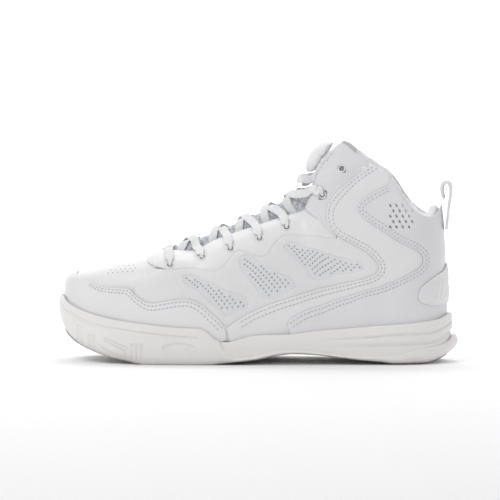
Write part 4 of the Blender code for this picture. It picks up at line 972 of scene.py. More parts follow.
def rims(name, places, out, radius, wire, sides=(1, -1)):
    """Rolled rims round the eyelets."""
    points, faces = [], []
    ring_count, tube_count = 28, 10
    for side in sides:
        place, normal = on_skin(np.asarray(places), side, out)
        for p, n in zip(place, normal):
            a = np.cross(n, (0, 0, 1.0))
            a /= np.linalg.norm(a)
            b = np.cross(n, a)
            start = len(points)
            for i in range(ring_count):
                turn = 2 * np.pi * i / ring_count
                spoke = a * np.cos(turn) + b * np.sin(turn)
                for j in range(tube_count):
                    roll = 2 * np.pi * j / tube_count
                    points.append(p + spoke * (radius + wire * np.cos(roll)) + n * wire * 0.7 * np.sin(roll))
            for i in range(ring_count):
                for j in range(tube_count):
                    k, m = (i + 1) % ring_count, (j + 1) % tube_count
                    faces.append((start + i * tube_count + j, start + k * tube_count + j,
                                  start + k * tube_count + m, start + i * tube_count + m))
    return piece(name, points, faces, UPPER)


# The sole

TOE_GROOVE = [(-139.3, 40.7), (-136.9, 38.2), (-133.4, 35.5), (-126.5, 32), (-119.6, 29.6), (-112.7, 27.5),
              (-105.8, 26.1), (-92, 24.2), (-78.1, 22.3), (-64.3, 20.9), (-50.5, 19.8), (-39.4, 18.9)]
SIDE_GROOVES = [
    [(-123.8, 25.8), (-123.1, 13.3)], [(-121, 25.1), (-120.3, 12.7)], [(-114.8, 19.6), (-114.4, 11.3)],
    [(-111.3, 18.9), (-111, 10.6)], [(-112, 14.7), (-98.2, 7.1), (-92, 5), (-89.2, 3)], [(-103, 17.8),
     (-87.1, 11.3)],
    [(-103, 15.4), (-88.5, 9.2), (-88.5, 5)], [(-83.7, 14), (-83.7, 3.7)], [(-80.2, 14), (-80.2, 3.7)],
    [(-76.7, 14), (-76.7, 3.7)],
]
HEEL_GROOVES = [
    [(46.3, 16.5), (60.2, 17.5), (74, 18.5), (87.8, 19.6), (101.6, 20.9), (115.5, 21.6), (122.4, 22.1),
     (127.9, 23.4), (135.5, 27.5)],
    [(51.9, 11.8), (67.1, 12.7), (80.9, 13), (101.6, 14), (115.5, 14.7), (122.4, 15.4), (127.9, 16.8),
     (136.2, 21.3)],
]
EMBLEM = (-51.2, 12.0, 11.8, 3.9)     # centre x, z and half sizes of the knurled oval


def line_depth(x, z, line, width, depth):
    """How deep a rounded groove along a line of x, z is at each point."""
    points = np.stack([x, z], axis=1)
    ring = np.asarray(line, float) * MM
    near = np.full(len(points), np.inf)
    for a, b in zip(ring[:-1], ring[1:]):
        along = b - a
        share = np.clip(((points - a) @ along) / (along @ along), 0, 1)
        near = np.minimum(near, np.linalg.norm(points - a - share[:, None] * along, axis=1))
    return depth * np.clip(1 - (near / width) ** 2, 0, 1) ** 0.75


def rubber_relief(x, z):
    depth = line_depth(x, z, TOE_GROOVE, 1.0 * MM, 1.0 * MM)
    for line in SIDE_GROOVES:
        depth = np.maximum(depth, line_depth(x, z, line, 0.85 * MM, 0.95 * MM))
    ex, ez, rx, rz = (v * MM for v in EMBLEM)
    oval = ((x - ex) / rx) ** 2 + ((z - ez) / rz) ** 2
    turn = 2 * np.pi / (1.5 * MM)
    knurl = 0.22 * MM * (np.sin((x + z) * turn) * np.sin((x - z) * turn) + 1)
    depth = np.where(oval < 0.8, np.maximum(depth, 0.35 * MM + knurl), depth)
    rim = np.clip(1 - np.abs(np.sqrt(np.maximum(oval, 1e-9)) - 0.97) / 0.07, 0, 1)
    return depth - 0.3 * MM * rim


def foam_relief(x, z):
    depth = np.zeros(len(x))
    for line in HEEL_GROOVES:
        fade = np.clip((x / MM - line[0][0]) / 30, 0.0, 1)
        depth = np.maximum(depth, line_depth(x, z, line, 1.1 * MM, 1.2 * MM) * fade)
    return depth


def fine_ways(step):
    """Places round the sole edge, closer where the rubber cup drops."""
    base = np.linspace(0, HEEL_S, int(HEEL_S / step))
    drop = np.linspace(134 * MM, 152 * MM, 60)
    way = np.unique(np.concatenate([base[(base < drop[0] - 1e-4) | (base > drop[-1] + 1e-4)], drop]))
    return np.concatenate([way, -way[1:-1][::-1]])


def between(rings, counts):
    """Rows added between rings, bending smoothly through them."""
    rings = np.array(rings)
    found = []
    for i, count in enumerate(counts):
        a, b = rings[i], rings[i + 1]
        before = rings[max(i - 1, 0)]
        after = rings[min(i + 2, len(rings) - 1)]
        for k in range(count):
            u = k / count
            start, finish = 0.35 * (b - before), 0.35 * (after - a)
            found.append(a * (1 + 2 * u) * (1 - u) ** 2 + start * u * (1 - u) ** 2
                         + b * u * u * (3 - 2 * u) + finish * u * u * (u - 1))
    found.append(rings[-1])
    return np.array(found)


def sole_piece(name, rings, counts, relief, material, rows_in_relief):
    grid = between(rings, counts)
    ways = len(grid[0])
    middle = grid.reshape(-1, 3)
    along = np.roll(grid, -1, axis=1) - np.roll(grid, 1, axis=1)
    normal = np.stack([along[..., 1], -along[..., 0], np.zeros_like(along[..., 0])], axis=-1)
    normal /= np.maximum(np.linalg.norm(normal, axis=-1, keepdims=True), 1e-12)
    centre = middle.mean(axis=0)
    out = np.sign(np.sum((grid - centre) * normal, axis=-1, keepdims=True))
    normal = normal * np.where(np.sum(out) < 0, -1, 1)
    depth = relief(middle[:, 0], middle[:, 2]).reshape(grid.shape[:2])
    active = np.zeros(len(grid))
    active[rows_in_relief[0]:rows_in_relief[1]] = 1
    grid = grid - normal * (depth * active[:, None])[..., None]
    faces = []
    for k in range(len(grid) - 1):
        for i in range(ways):
            j = (i + 1) % ways
            faces.append((k * ways + i, k * ways + j, (k + 1) * ways + j, (k + 1) * ways + i))
    return piece(name, grid.reshape(-1, 3), faces, material, replaces=[name.replace("_skin", "")])


def tread():
    """The underside: curved herringbone lugs with a pivot circle under the ball of the foot."""
    ways = sole_ways(240)
    edge = sole_ring(ways, SOLE_WALL - 4.2 * MM, lambda x: height(GROUND, x))[:, :2]
    step = 0.9 * MM
    xs = np.arange(edge[:, 0].min(), edge[:, 0].max() + step, step)
    ys = np.arange(edge[:, 1].min(), edge[:, 1].max() + step, step)
    gx, gy = np.meshgrid(xs, ys, indexing="ij")
    flat_points = np.stack([gx.ravel(), gy.ravel()], axis=1)
    within = inside(edge, flat_points)
    near = distance_to(edge, flat_points)
    wave = gx.ravel() + 3.5 * MM * np.abs(((gy.ravel() / (9 * MM)) % 2) - 1) * 2
    groove = np.clip(1 - np.abs(((wave / (5.5 * MM)) % 1) - 0.5) / 0.17, 0, 1)
    ball = np.hypot(flat_points[:, 0] + 58 * MM, flat_points[:, 1] - 1 * MM)
    rings = np.clip(1 - np.abs(((ball / (4.4 * MM)) % 1) - 0.5) / 0.17, 0, 1)
    groove = np.where(ball < 21 * MM, rings, groove)
    groove = np.where(np.abs(ball - 22.5 * MM) < 1.2 * MM, 1, groove)
    arch = (flat_points[:, 0] > 5 * MM) & (flat_points[:, 0] < 42 * MM)
    groove = np.where(arch, 0.0, groove)
    groove = np.where(near < 4 * MM, 0, groove)
    z = height(GROUND, flat_points[:, 0]) + 1.1 * MM * np.clip(groove * 1.6, 0, 1) + 0.05 * MM
    points = np.stack([flat_points[:, 0], flat_points[:, 1], z], axis=1)
    rows, columns = gx.shape
    faces = []
    index = np.arange(rows * columns).reshape(rows, columns)
    for i in range(rows - 1):
        for j in range(columns - 1):
            corner = (index[i, j], index[i, j + 1], index[i + 1, j + 1], index[i + 1, j])
            if within[list(corner)].any():
                faces.append(corner)
    used = np.unique(np.array(faces))
    number = {k: n for n, k in enumerate(used.tolist())}
    faces = [[number[k] for k in face] for face in np.array(faces).tolist()]
    points = points[used]
    return piece("outsole_tread", points, faces, RUBBER)


def add_sole_looks():
    ways = fine_ways(0.8 * MM)
    rings = rubber_rings(ways, 0.0)[1:8]
    counts = [6, 14, 14, 6, 3, 3]
    sole_piece("outsole_skin", rings, counts, rubber_relief, RUBBER, (3, 38))
    rear = lambda out: (lambda s: np.interp(np.abs(s), [0.136, 0.1425], [-2.8 * MM, SOLE_WALL + out]))
    level = lambda share, raised: lambda x: height(GROUND, x) * (1 - share) + midsole_top(x) * share + raised
    foot = lambda x: np.maximum(blend_heights(GROUND, RUBBER_TOP, 0.5)(x), level(0.12, 1.5 * MM)(x))
    rings = [
        sole_ring(ways, rear(-3.2 * MM), foot),
        sole_ring(ways, rear(-0.9 * MM),
                  lambda x: np.minimum(height(RUBBER_TOP, x) - 0.6 * MM, midsole_top(x) - MM)),
        sole_ring(ways, rear(0.1 * MM), lambda x: height(RUBBER_TOP, x) * 0.4 + midsole_top(x) * 0.6),
        sole_ring(ways, rear(-0.35 * MM), lambda x: midsole_top(x) - 0.5 * MM),
        sole_ring(ways, rear(-1.0 * MM), midsole_top),
        sole_ring(ways, lambda s: np.interp(np.abs(s), [0.136, 0.1425], [-3 * MM, 0]),
                  lambda x: midsole_top(x) - 0.2 * MM),
        sole_ring(ways, lambda s: np.interp(np.abs(s), [0.136, 0.1425], [-3.2 * MM, -0.5 * MM]),
                  lambda x: height(FOOTBED, x) - 1.8 * MM),
    ]
    sole_piece("midsole_skin", rings, [4, 16, 14, 4, 2, 3], foam_relief, FOAM, (2, 36))
    tread()


# The panels

def window_holes(outline, pitch, radius, margin):
    """Staggered punched holes inside an outline of s and t."""
    ring = flat(outline)
    low, high = ring.min(axis=0), ring.max(axis=0)
    found = []
    for row, y in enumerate(np.arange(low[1], high[1], pitch * 0.52)):
        for x in np.arange(low[0] + (row % 2) * pitch / 2, high[0], pitch):
            found.append((x, y))
    found = np.array(found)
    found = found[inside(ring, found) & (distance_to(ring, found) > margin)]
    length = profile_length(found[:, 0])
    return [ring_at(x, y / size, radius, 10) for (x, y), size in zip(found, length)]


def ring_at(s, t, radius, sides):
    length = float(profile_length(np.array([s]))[0])
    turns = np.arange(sides) * 2 * np.pi / sides
    return [(s + radius * np.cos(a), t + radius * np.sin(a) / length) for a in turns][::-1]


def groove_along(rings, distance, width, depth):
    """Relief of a fine groove that follows rings at a distance."""
    def relief(points, edge):
        found = np.zeros(len(points))
        for ring in rings:
            near = np.abs(distance_to(ring, points) - distance)
            found -= depth * np.clip(1 - near / width, 0, 1)
        return found
    return relief


def toe_outline():
    edge = traced(TOE_OVERLAY_EDGE)
    edge[0] = (0.0, edge[0][1])
    end = edge[-1][0]
    bottom = [(s, tucked(s)) for s in np.linspace(end, -end, 40)]
    return list(reversed(edge + bottom[1:-1] + [(-s, t) for s, t in reversed(edge[1:])])), edge


def vamp_skin():
    """The vamp over the toes as one fine sheet."""
    ways = np.linspace(-97 * MM, 97 * MM, 150)
    rows = 70
    way = np.repeat(ways, rows)
    low = [up_to(abs(s), float(np.interp(abs(s), [0, 0.097], [0.046, 0.036]))) for s in ways]
    rise = np.concatenate([np.linspace(a, 1.0, rows) for a in low])
    points = skin(way, np.minimum(rise, 0.9995), VAMP_OUT)
    faces = []
    for i in range(len(ways) - 1):
        for j in range(rows - 1):
            a = i * rows + j
            faces.append((a, a + rows, a + rows + 1, a + 1))
    return piece("vamp_skin", points, faces, UPPER, replaces=["vamp"])


def backing():
    """The tricot behind the vents and seams, on both sides; its grey tone is painted shade seen through the
    punched holes.
    """
    ways = np.linspace(92, 250, 100) * MM
    rows = 40
    for side, name in ((1, "lateral"), (-1, "medial")):
        way = np.repeat(ways, rows)
        low = np.array([up_to(s, 0.0145) for s in ways])
        high = np.interp(ways, [0.1, 0.19, 0.2, 0.25], [0.985, 0.985, 0.94, 0.94])
        rise = np.concatenate([np.linspace(a, b, rows) for a, b in zip(low, high)])
        points = skin(side * way, rise, -2.65 * MM)
        faces = []
        for i in range(len(ways) - 1):
            for j in range(rows - 1):
                a = i * rows + j
                face = (a, a + rows, a + rows + 1, a + 1)
                faces.append(face if side > 0 else face[::-1])
        piece("backing_" + name, points, faces, BACKING_AND_HOLE_SHADE)


def add_panels():
    toe, toe_edge = toe_outline()
    fine_panel("toe_overlay", toe, toe_overlay_out, UPPER, sides=(1,), facet=2.6 * MM,
               roll=0.8 * MM)
    vamp_skin()

    windows = [list(reversed(traced(window))) for window in WINDOWS]
    eyelets = eyelet_places()
    lower = traced(EYESTAY_LOWER)
    stripe = traced(STRIPE_EDGE)
    rear = traced(REAR_EDGE)

    under_toe = traced([(-76, 36), (-60, 36), (-45, 37), (-33, 31), (-26, 24), (-20, 17)])
    under_stripe = traced([(-12, 22), (0, 30), (14, 35.5), (40, 44.5), (67, 51), (84, 55.5), (92, 61),
                           (93, 70), (88, 78), (80, 84), (68, 91), (60, 97)])
    top = traced([(x, z - 0.45) for x, z in EYESTAY_LOWER])
    quarter = traced(QUARTER_FRONT) + under_toe + under_stripe + traced([(57.5, 92)]) + top[:-1]
    ridges = [flat(hole) for hole in windows]
    fine_panel("quarter", quarter, QUARTER_OUT + 0.25 * MM, PANEL, windows, QUARTER_THICK,
               relief=groove_along(ridges, 1.6 * MM, 0.7 * MM, 0.35 * MM), facet=1.8 * MM)
    for number, hole in enumerate(windows):
        ring = in_from(hole, -1.2 * MM)
        punched = window_holes(hole, 3.75 * MM, 0.52 * MM, 1.7 * MM)
        fine_panel(f"window_{number + 1}", ring, WINDOW_OUT - 0.05 * MM, VENT, punched,
                   QUARTER_THICK, facet=1.8 * MM, hole_facet=0.45 * MM, roll=0.4 * MM)

    throat = [(s * MM, 1.0) for s in (99, 103, 108, 114, 120, 128, 136, 146, 156, 166, 175, 183, 190, 196)]
    front = [(96 * MM, 0.97)]
    behind = traced([(34.5, 108.5), (38.5, 105), (41.3, 101.6), (45.9, 98.4), (50, 94.4), (53.5, 91)])
    eyestay = front + lower[::-1] + behind[::-1] + throat[::-1]
    punched = [ring_at(s, t, EYELET_RADIUS, 16) for s, t in eyelets[:5]]
    fine_panel("eyestay", eyestay, EYESTAY_OUT, UPPER, punched, facet=1.6 * MM,
               hole_facet=0.9 * MM, roll=0.7 * MM,
               relief=groove_along([flat(eyestay)], 1.9 * MM, 0.6 * MM, 0.3 * MM))

    up_front = [(s, 1.0) for s in np.array([226, 229.5, 233, 236.5, 240, 243.5]) * MM]
    back = traced([(76, 128.5), (66, 120.5), (58, 112), (55.5, 105), (56, 98)])
    flap = traced(FLAP_FRONT) + traced(FLAP_LOWER)[1:-1] + back[::-1] + up_front[::-1]
    punched = [ring_at(s, t, EYELET_RADIUS, 16) for s, t in eyelets[5:]]
    fine_panel("ankle_flap", flap, flap_out, ANKLE_SHADED, punched, facet=2.2 * MM,
               hole_facet=0.9 * MM, roll=0.8 * MM)

    lap = traced([(97, 124), (90, 116), (83, 111), (80, 107), (84, 103), (99, 93), (108, 87), (116.5, 81),
                  (120, 71), (116, 63), (104, 56), (88, 49), (60, 40.5), (40, 33), (33, 28), (30, 24)])
    foot = [(s, tucked(s)) for s in np.linspace(lap[-1][0], stripe[0][0] + 2.5 * MM, 8)]
    crest = [(s, 1.0) for s in np.array([249, 254, 259]) * MM]
    fine_panel("stripe", stripe + crest + lap + foot, STRIPE_OUT, UPPER, facet=2.4 * MM,
               roll=0.7 * MM)

    seam_line = HEEL_S - 0.5 * GAP
    rise = [(seam_line, t) for t in np.linspace(tucked(seam_line), 1.0, 12)]
    base = [(s, tucked(s)) for s in np.linspace(rear[-1][0], seam_line, 20)]
    collar = [(s * MM, 1.0)
              for s in (310, 304, 300, 297, 294, 291, 287, 284, 280, 277, 273, 270, 267, 264, 260)]
    vents = [ring_at(*on_surface(x * MM, z * MM), 0.75 * MM, 10)
             for row in range(5) for column in range(4)
             for x, z in [(94.5 + column * 4.2 + row % 2 * 2.1, 95.5 + row * 3.7)]]
    outline = rear[1:-1] + base[:-1] + rise + collar
    fine_panel("rear_quarter", outline, REAR_OUT, ANKLE_SHADED, vents,
               facet=2.2 * MM, hole_facet=0.45 * MM, roll=0.7 * MM)

    edge = traced(BADGE_EDGE)
    high = (HEEL_S, up_to(HEEL_S, BADGE_TOP_Z * MM))
    deep = (HEEL_S, up_to(HEEL_S, BADGE_LOW_Z * MM))
    outline = [high] + edge + [deep] + [(2 * HEEL_S - s, t) for s, t in reversed(edge)]
    ring = flat(outline)
    inner = groove_along([ring], 2.0 * MM, 0.6 * MM, 0.5 * MM)

    def badge_relief(points, distance):
        across = np.abs(points[:, 0] - HEEL_S)
        rib = np.clip(1 - np.abs(((across + 0.25 * points[:, 1]) / (5.2 * MM)) % 1 - 0.5) / 0.22, 0, 1)
        field = np.clip((distance - 3.4 * MM) / (0.8 * MM), 0, 1)
        return inner(points, distance) + 0.55 * MM * rib * field

    fine_panel("heel_badge", outline, BADGE_OUT, UPPER, thick=1.0 * MM, relief=badge_relief,
               facet=1.1 * MM, roll=0.7 * MM, sides=(1,))

    backing()
    stitches = []
    turned = toe_edge[1:]
    for distance in (1.5 * MM, 3.9 * MM):
        stitches += seam([open_line(turned[1:-2], -distance)], toe_overlay_out)
    for distance in (1.5 * MM, 3.9 * MM):
        stitches += seam([open_line(stripe[1:], -distance)], STRIPE_OUT)
        stitches += seam([open_line(rear[1:-3], distance)], REAR_OUT)
    stitches += seam([open_line(throat, -2.4 * MM)], EYESTAY_OUT)
    stitches += seam([open_line(traced(FLAP_FRONT), 2.0 * MM)], flap_out)
    stitch_mesh(stitches, "seam_stitches")
    needle_holes(stitches, "needle_hole_shade")
    rims("eyelet_rims", flat(eyelets[:5]), EYESTAY_OUT + 0.1 * MM, EYELET_RADIUS, 0.45 * MM)
    rims("flap_eyelet_rims", flat(eyelets[5:]), lambda s, t: flap_out(s, t) + 0.1 * MM, EYELET_RADIUS,
         0.45 * MM)
    piping()
    ribbon("eyestay_seam", traced(EYESTAY_LOWER), 1.4 * MM, -1.62 * MM)
    ribbon("flap_seam", traced(FLAP_LOWER), 1.4 * MM, -1.62 * MM)
    ribbon("overlay_seam", traced([(-20.5, 27), (-18.6, 22), (-18.2, 15)]), 2.2 * MM, -0.9 * MM)
    spots = []
    for row in range(3):
        for column in range(6):
            x = -103 + column * 3.6 + row % 2 * 1.8
            z = 64.5 + row * 2.1 + column * 0.35
            s, t = on_surface(x * MM, z * MM)
            spots.append((s, t))
    dots("vamp_perforations", flat(spots), VAMP_OUT + 0.02 * MM, 0.6 * MM)


# Collar, tongue, lace and pull tab

def ribbon(name, outline, half, out):
    """A narrow strip under a seam on both sides, so that the seam is shallow."""
    left, right = open_line(outline, half), open_line(outline, -half)
    for side, label in ((1, "lateral"), (-1, "medial")):
        points = np.concatenate([on_skin(left, side, out)[0], on_skin(right, side, out)[0]])
        count = len(left)
        faces = [(k, k + 1, count + k + 1, count + k) for k in range(count - 1)]
        piece(name + "_" + label, points, faces, PANEL)


def piping():
    """Corded piping along the front edge of each ankle flap."""
    line = open_line(traced(FLAP_FRONT)[:-3], 0.1 * MM)
    for side, label in ((1, "lateral"), (-1, "medial")):
        place, normal = on_skin(line, side, lambda s, t: flap_out(s, t) - 0.35 * MM)
        way = np.gradient(place, axis=0)
        way /= np.linalg.norm(way, axis=1, keepdims=True)
        across = np.cross(normal, way)
        rings = []
        for p, n, a in zip(place, normal, across):
            turns = np.arange(12) * 2 * np.pi / 12
            rings.append([p + (n * np.cos(w) + a * np.sin(w)) * 0.75 * MM for w in turns])
        tube_piece("flap_piping_" + label, np.array(rings), UPPER)


def tube_piece(name, rings, material, replaces=(), body=BODY, uv=None):
    sections, sides = rings.shape[:2]
    points = [*rings.reshape(-1, 3), rings[0].mean(axis=0), rings[-1].mean(axis=0)]
    faces = []
    for k in range(sections - 1):
        for i in range(sides):
            j = (i + 1) % sides
            faces.append((k * sides + i, (k + 1) * sides + i, (k + 1) * sides + j, k * sides + j))
    first, last = sections * sides, sections * sides + 1
    for i in range(sides):
        j = (i + 1) % sides
        faces.append((i, j, first))
        faces.append(((sections - 1) * sides + j, (sections - 1) * sides + i, last))
    if uv is not None:
        uv = np.concatenate([uv, uv[:1], uv[-1:]])
    return outward(piece(name, points, faces, material, body, replaces, uv))


def smoothed(made, levels):
    """The piece with subdivision surface applied."""
    modifier = made.modifiers.new("smooth", "SUBSURF")
    modifier.levels = levels
    modifier.render_levels = levels
    graph = bpy.context.evaluated_depsgraph_get()
    mesh = bpy.data.meshes.new_from_object(made.evaluated_get(graph))
    made.modifiers.clear()
    made.data = mesh
    made.data.shade_smooth()
    return made


def swollen(made, cap, pressure=4.0, voxel=3.2 * MM):
    """The padded piece filled out by a short cloth simulation, with each point's move capped."""
    modifier = made.modifiers.new("remesh", "REMESH")
    modifier.mode = "VOXEL"
    modifier.voxel_size = voxel
    graph = bpy.context.evaluated_depsgraph_get()
    mesh = bpy.data.meshes.new_from_object(made.evaluated_get(graph))
    made.modifiers.clear()
    made.data = mesh
    count = len(mesh.vertices)
    before = np.zeros(count * 3)
    mesh.vertices.foreach_get("co", before)
    cloth_modifier = made.modifiers.new("cloth", "CLOTH")
    settings = cloth_modifier.settings
    settings.use_pressure = True
    settings.uniform_pressure_force = pressure
    settings.effector_weights.gravity = 0.0
    settings.quality = 5
    scene = bpy.context.scene
    for number in range(1, 21):
        scene.frame_set(number)
    graph = bpy.context.evaluated_depsgraph_get()
    after_mesh = bpy.data.meshes.new_from_object(made.evaluated_get(graph))
    after = np.zeros(count * 3)
    after_mesh.vertices.foreach_get("co", after)
    made.modifiers.clear()
    scene.frame_set(1)
    before, after = before.reshape(-1, 3), after.reshape(-1, 3)
    move = after - before
    length = np.maximum(np.linalg.norm(move, axis=1, keepdims=True), 1e-9)
    after = before + move * np.minimum(1, cap / length)
    made.data.vertices.foreach_set("co", after.ravel())
    made.data.update()
    relax = made.modifiers.new("relax", "SMOOTH")
    relax.factor = 0.5
    relax.iterations = 3
    return smoothed(made, 1)


def add_collar_looks():
    """The padded collar roll, from flap to flap."""
    ways = [np.linspace(231, 300, 36), np.linspace(303, 331, 12), np.linspace(334, 403, 36)]
    ways = np.concatenate(ways) * MM
    rings = []
    for s in ways:
        near = min(s, 2 * HEEL_S - s)
        top = float(upper(s, 1.0)[2])
        depth = float(np.interp(near, [0.231, 0.262], [16 * MM, 80 * MM]))
        base = max(lining_top(near) + 4 * MM, 0.072, top - depth)
        fall = top - base
        face = float(np.interp(near, [0.276, 0.290], [-1.35, 0.1]))
        full = float(np.interp(near, [0.231, 0.243], [0.3, 1.0]))
        section = [(base, -1.35), (base + 0.35 * fall, face), (base + 0.72 * fall, face),
                   (top - 1 * MM, face), (top + 1.4 * full * MM, -1.4), (top + 1.8 * full * MM, -4.2),
                   (top - 0.4 * MM, -7.0), (base + 0.66 * fall, -9.6), (base + 0.33 * fall, -8.8),
                   (base, -3.4)]
        rings.append([collar_point(s, z, (out * full + face * (1 - full)) * MM, top) for z, out in section])
    made = tube_piece("collar_padding_skin", np.array(rings), KNIT, ["collar_padding"])
    swollen(made, 0.9 * MM)


def add_tongue_looks():
    ways = np.linspace(96, 205, 90) * MM
    shares = np.linspace(0, 1, 48)
    coarse = [0, 0.22, 0.5, 0.78, 1]
    grid_over, grid_under = [], []
    for s in ways:
        row = tongue_row(s, 0.0)
        left, arch, right = row[:4], row[3:8], row[7:]
        middle = np.stack([rounded(np.array(coarse), arch[:, i], shares) for i in range(3)], axis=1)
        line = np.concatenate([left[:-1], middle, right[1:]])
        grid_over.append(line)
        below = line.copy()
        below[:, 2] -= TONGUE_THICK
        grid_under.append(below)
    over, under = np.array(grid_over), np.array(grid_under)
    count = over.shape[1]
    faces = []
    total = over.shape[0] * count
    for i in range(len(ways) - 1):
        for j in range(count - 1):
            a = i * count + j
            faces.append((a, a + count, a + count + 1, a + 1))
            faces.append((a + total, a + 1 + total, a + count + 1 + total, a + count + total))
    rim = [(i * count, (i + 1) * count, (i + 1) * count + total, i * count + total)
           for i in range(len(ways) - 1)]
    ends = [(i + 1) * count - 1 for i in range(len(ways))]
    rim += [(a, b, b + total, a + total) for a, b in zip(ends[:-1], ends[1:])]
    rim += [(j, j + 1, j + 1 + total, j + total) for j in range(count - 1)]
    last = (len(ways) - 1) * count
    rim += [(last + j, last + j + 1, last + j + 1 + total, last + j + total) for j in range(count - 1)]
    points = np.concatenate([over.reshape(-1, 3), under.reshape(-1, 3)])
    outward(piece("tongue_skin", points, faces + rim, MESH, replaces=["tongue"]))
    lower = tube_piece("tongue_upper_skin", padded_ovals(TONGUE_UPPER), MESH, ["tongue_upper"])
    smoothed(lower, 2)
    full = [(33.4, 132.6, 13, 6.8), (33.2, 136.5, 14.2, 8.8), (34, 141, 15.4, 10.8), (36, 145.8, 16.2, 12.6),
            (38.6, 149.6, 16.6, 13), (41.8, 152.2, 15.6, 11), (45.4, 153.7, 12.5, 7)]
    top = tube_piece("tongue_top_skin", padded_ovals(full), KNIT, ["tongue_top"], "tongue_top")
    swollen(top, 0.8 * MM, voxel=2.5 * MM)


def padded_ovals(sections):
    rings = []
    for x, z, half, thick in np.array(sections) * MM:
        ring = []
        for angle in np.arange(24) * 2 * np.pi / 24:
            side, depth = np.sin(angle), np.cos(angle)
            bow = 0.35 * half * abs(side) ** 2.2
            back = thick / 2 + bow - depth * thick / 2
            ring.append((x + back, side * half + 1 * MM, z - depth * 0.1 * thick))
        rings.append(ring)
    return np.array(rings)


def lace_section(width, thick):
    """The flat lace's section: two thin edges and a slightly fuller middle."""
    return [(width / 2 * np.sign(np.cos(a)) * abs(np.cos(a)) ** 0.55,
             thick / 2 * np.sign(np.sin(a)) * abs(np.sin(a)) ** 0.6)
            for a in np.arange(16) * 2 * np.pi / 16]


def add_lace_looks():
    places = eyelet_places()[:LACED]
    one = lace_half(places, 1, 1.6 * MM)
    other = lace_half(places, -1, 3.6 * MM)
    line = other[::-1] + one[1:]
    points = np.array([place for place, _, _ in line])
    far = np.concatenate([[0], np.cumsum(np.linalg.norm(np.diff(points, axis=0), axis=1))])
    at = np.unique(np.concatenate([far, np.arange(0, far[-1], 0.9 * MM)]))
    at = at[np.concatenate([[True], np.diff(at) > 0.2 * MM])]
    widths = rounded(far, np.array([width for _, width, _ in line]), at)
    sides = np.array([side for _, _, side in line])
    sides = np.stack([np.interp(at, far, sides[:, i]) for i in range(3)], axis=1)
    points = np.stack([rounded(far, points[:, i], at) for i in range(3)], axis=1)
    tangent = np.gradient(points, at, axis=0)
    tangent /= np.linalg.norm(tangent, axis=1, keepdims=True)
    rings, uv = [], []
    for place, way, side, width, along in zip(points, tangent, sides, widths, at):
        side = side - way * (way @ side)
        side /= np.linalg.norm(side)
        up = np.cross(side, way)
        width = max(width, 1.9 * MM) * 1.04
        thick = LACE_THICK * (1 if width > 0.5 * LACE_WIDTH else 1.3)
        ring = lace_section(width, thick)
        rings.append([place + side * a + up * b for a, b in ring])
        uv += [(a, along) for a, b in ring]
    tube_piece("lace_skin", np.array(rings), LACE, ["lace"], uv=np.array(uv))


def add_tab_looks():
    outside = [(132.9, 92.5), (133.6, 99), (134.6, 108.8), (135.6, 114.5), (136, 121), (135.2, 125),
               (132.6, 126.4), (129.8, 125), (128.6, 120.8), (130, 113.9)]
    inside_line = [(131.9, 92.5), (132.6, 99.2), (133.6, 108.9), (134.5, 114.8), (134.9, 120.6),
                   (134.2, 123.8), (132.6, 125.1), (130.8, 123.9), (129.9, 120.6), (131.1, 114.1)]
    out, inner = np.array(outside) * MM, np.array(inside_line) * MM
    far = np.concatenate([[0], np.cumsum(np.linalg.norm(np.diff((out + inner) / 2, axis=0), axis=1))])
    at = np.linspace(0, far[-1], 160)
    out = np.stack([rounded(far, out[:, i], at) for i in range(2)], axis=1)
    inner = np.stack([rounded(far, inner[:, i], at) for i in range(2)], axis=1)
    half = PULL_TAB_WIDTH / 2
    across = np.linspace(-1, 1, 13)
    rings, uv = [], []
    for k, (a, b) in enumerate(zip(out, inner)):
        middle, reach = (a + b) / 2, (a - b) / 2 * 1.9
        rib = 1 + 0.16 * np.sin(2 * np.pi * at[k] / (1.45 * MM))
        ring = [(middle + reach * rib * (1 - 0.5 * abs(y) ** 8), y * half) for y in across]
        ring += [(middle - reach * rib * (1 - 0.5 * abs(y) ** 8), y * half) for y in across[::-1]]
        rings.append([(p[0], y, p[1]) for p, y in ring])
        uv += [(y, at[k]) for _, y in ring]
    tube_piece("pull_tab_skin", np.array(rings), WEBBING, ["pull_tab"], "pull_tab", np.array(uv))
    tack = []
    for z in (94.2, 96.0, 97.8):
        for y in np.arange(-6, 6.1, 1.5):
            x = np.interp(z, [92.5, 99], [132.9, 133.6])
            tack.append((np.array([x + 0.25, y, z]) * MM, np.array([0, 1.0, 0]), np.array([1.0, 0, -0.1])))
    made = stitch_mesh(tack, "pull_tab_tacks", length=1.4 * MM)
    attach(made, "pull_tab")


def dress_inside():
    """Materials of the CAD pieces that stay as they are."""
    for name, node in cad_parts.items():
        if node.hide_render:
            continue
        if name == "sockliner":
            material = SOCK
        elif name in ("strobel_board", "heel_counter", "toe_puff"):
            material = BOARD
        else:
            material = KNIT
        node.data.materials.clear()
        node.data.materials.append(material)
        node.data.shade_smooth()


# Stage

def plain(name, colour, rough):
    material, tree, shader = new_material(name, colour, rough)
    grain = noise(tree, 30.0)
    shaded(tree, shader, grain.outputs["Fac"], tuple(c * 0.995 for c in colour), colour)
    return material


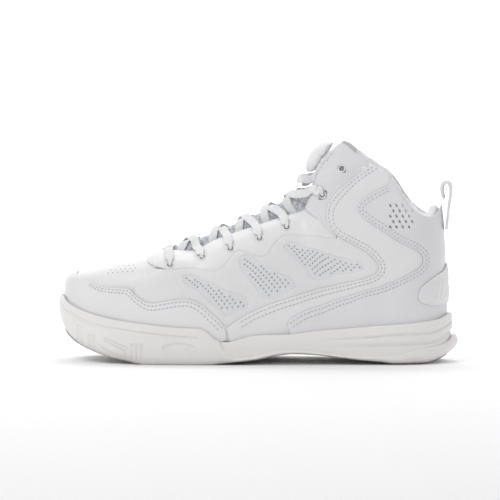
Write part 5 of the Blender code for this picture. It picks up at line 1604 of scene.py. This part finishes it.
def add_stage():
    bend = [(-5.0, 0.0)]
    bend += [(3 + 1.5 * math.sin(a), 1.5 - 1.5 * math.cos(a)) for a in np.linspace(0, math.pi / 2, 24)]
    bend.append((4.5, 6.0))
    points = [(x, y, z) for y, z in bend for x in (-7, 7)]
    faces = [(2 * k, 2 * k + 1, 2 * k + 3, 2 * k + 2) for k in range(len(bend) - 1)]
    mesh = bpy.data.meshes.new("floor")
    mesh.from_pydata(points, [], faces)
    mesh.shade_smooth()
    mesh.materials.append(plain("floor_white", (0.95, 0.95, 0.95), 0.9))
    floor = bpy.data.objects.new("floor", mesh)
    bpy.context.scene.collection.objects.link(floor)
    world = bpy.data.worlds.new("studio")
    world.use_nodes = True
    world.node_tree.nodes["Background"].inputs["Color"].default_value = (1, 1, 1, 1)
    world.node_tree.nodes["Background"].inputs["Strength"].default_value = WORLD
    bpy.context.scene.world = world
    bpy.context.scene.view_settings.view_transform = "Standard"
    for place, size, power, aim in LIGHTS:
        light = bpy.data.lights.new("softbox", "AREA")
        light.size = size
        light.energy = power
        lamp = bpy.data.objects.new("softbox", light)
        lamp.location = place
        lamp.rotation_euler = (Vector(aim) - Vector(place)).to_track_quat("-Z", "Y").to_euler()
        bpy.context.scene.collection.objects.link(lamp)


WORLD = 0.65
SHOE = (0, 0, 0.07)
WALL = (0, 4.2, 0.8)
# place, size, power and aim of each softbox
LIGHTS = [
    ((-0.9, -1.1, 1.7), 0.7, 10.5, SHOE),
    ((0.1, 1.3, 1.8), 1.0, 2.0, SHOE),
    ((0, 1.6, 3.0), 3.0, 120.0, WALL),
]
TARGET = (-2.1 * MM, -42 * MM, 79.7 * MM)
AZIMUTH = 4.2                       # degrees round towards the heel
ELEVATION = 3.2
DISTANCE = 3.0
SEEN_WIDTH = 345.7 * MM


def add_camera():
    camera = bpy.data.cameras.new("camera")
    camera.sensor_width = 36
    camera.lens = 36 * DISTANCE / SEEN_WIDTH
    camera.clip_end = 50
    made = bpy.data.objects.new("camera", camera)
    turn, tilt = math.radians(AZIMUTH), math.radians(ELEVATION)
    away = Vector((math.sin(turn) * math.cos(tilt), -math.cos(turn) * math.cos(tilt), math.sin(tilt)))
    made.location = Vector(TARGET) + away * DISTANCE
    made.rotation_euler = (-away).to_track_quat("-Z", "Y").to_euler()
    bpy.context.scene.collection.objects.link(made)
    bpy.context.scene.camera = made


add_camera()
add_sole_looks()
add_panels()
add_collar_looks()
add_tongue_looks()
add_lace_looks()
add_tab_looks()
dress_inside()
add_stage()
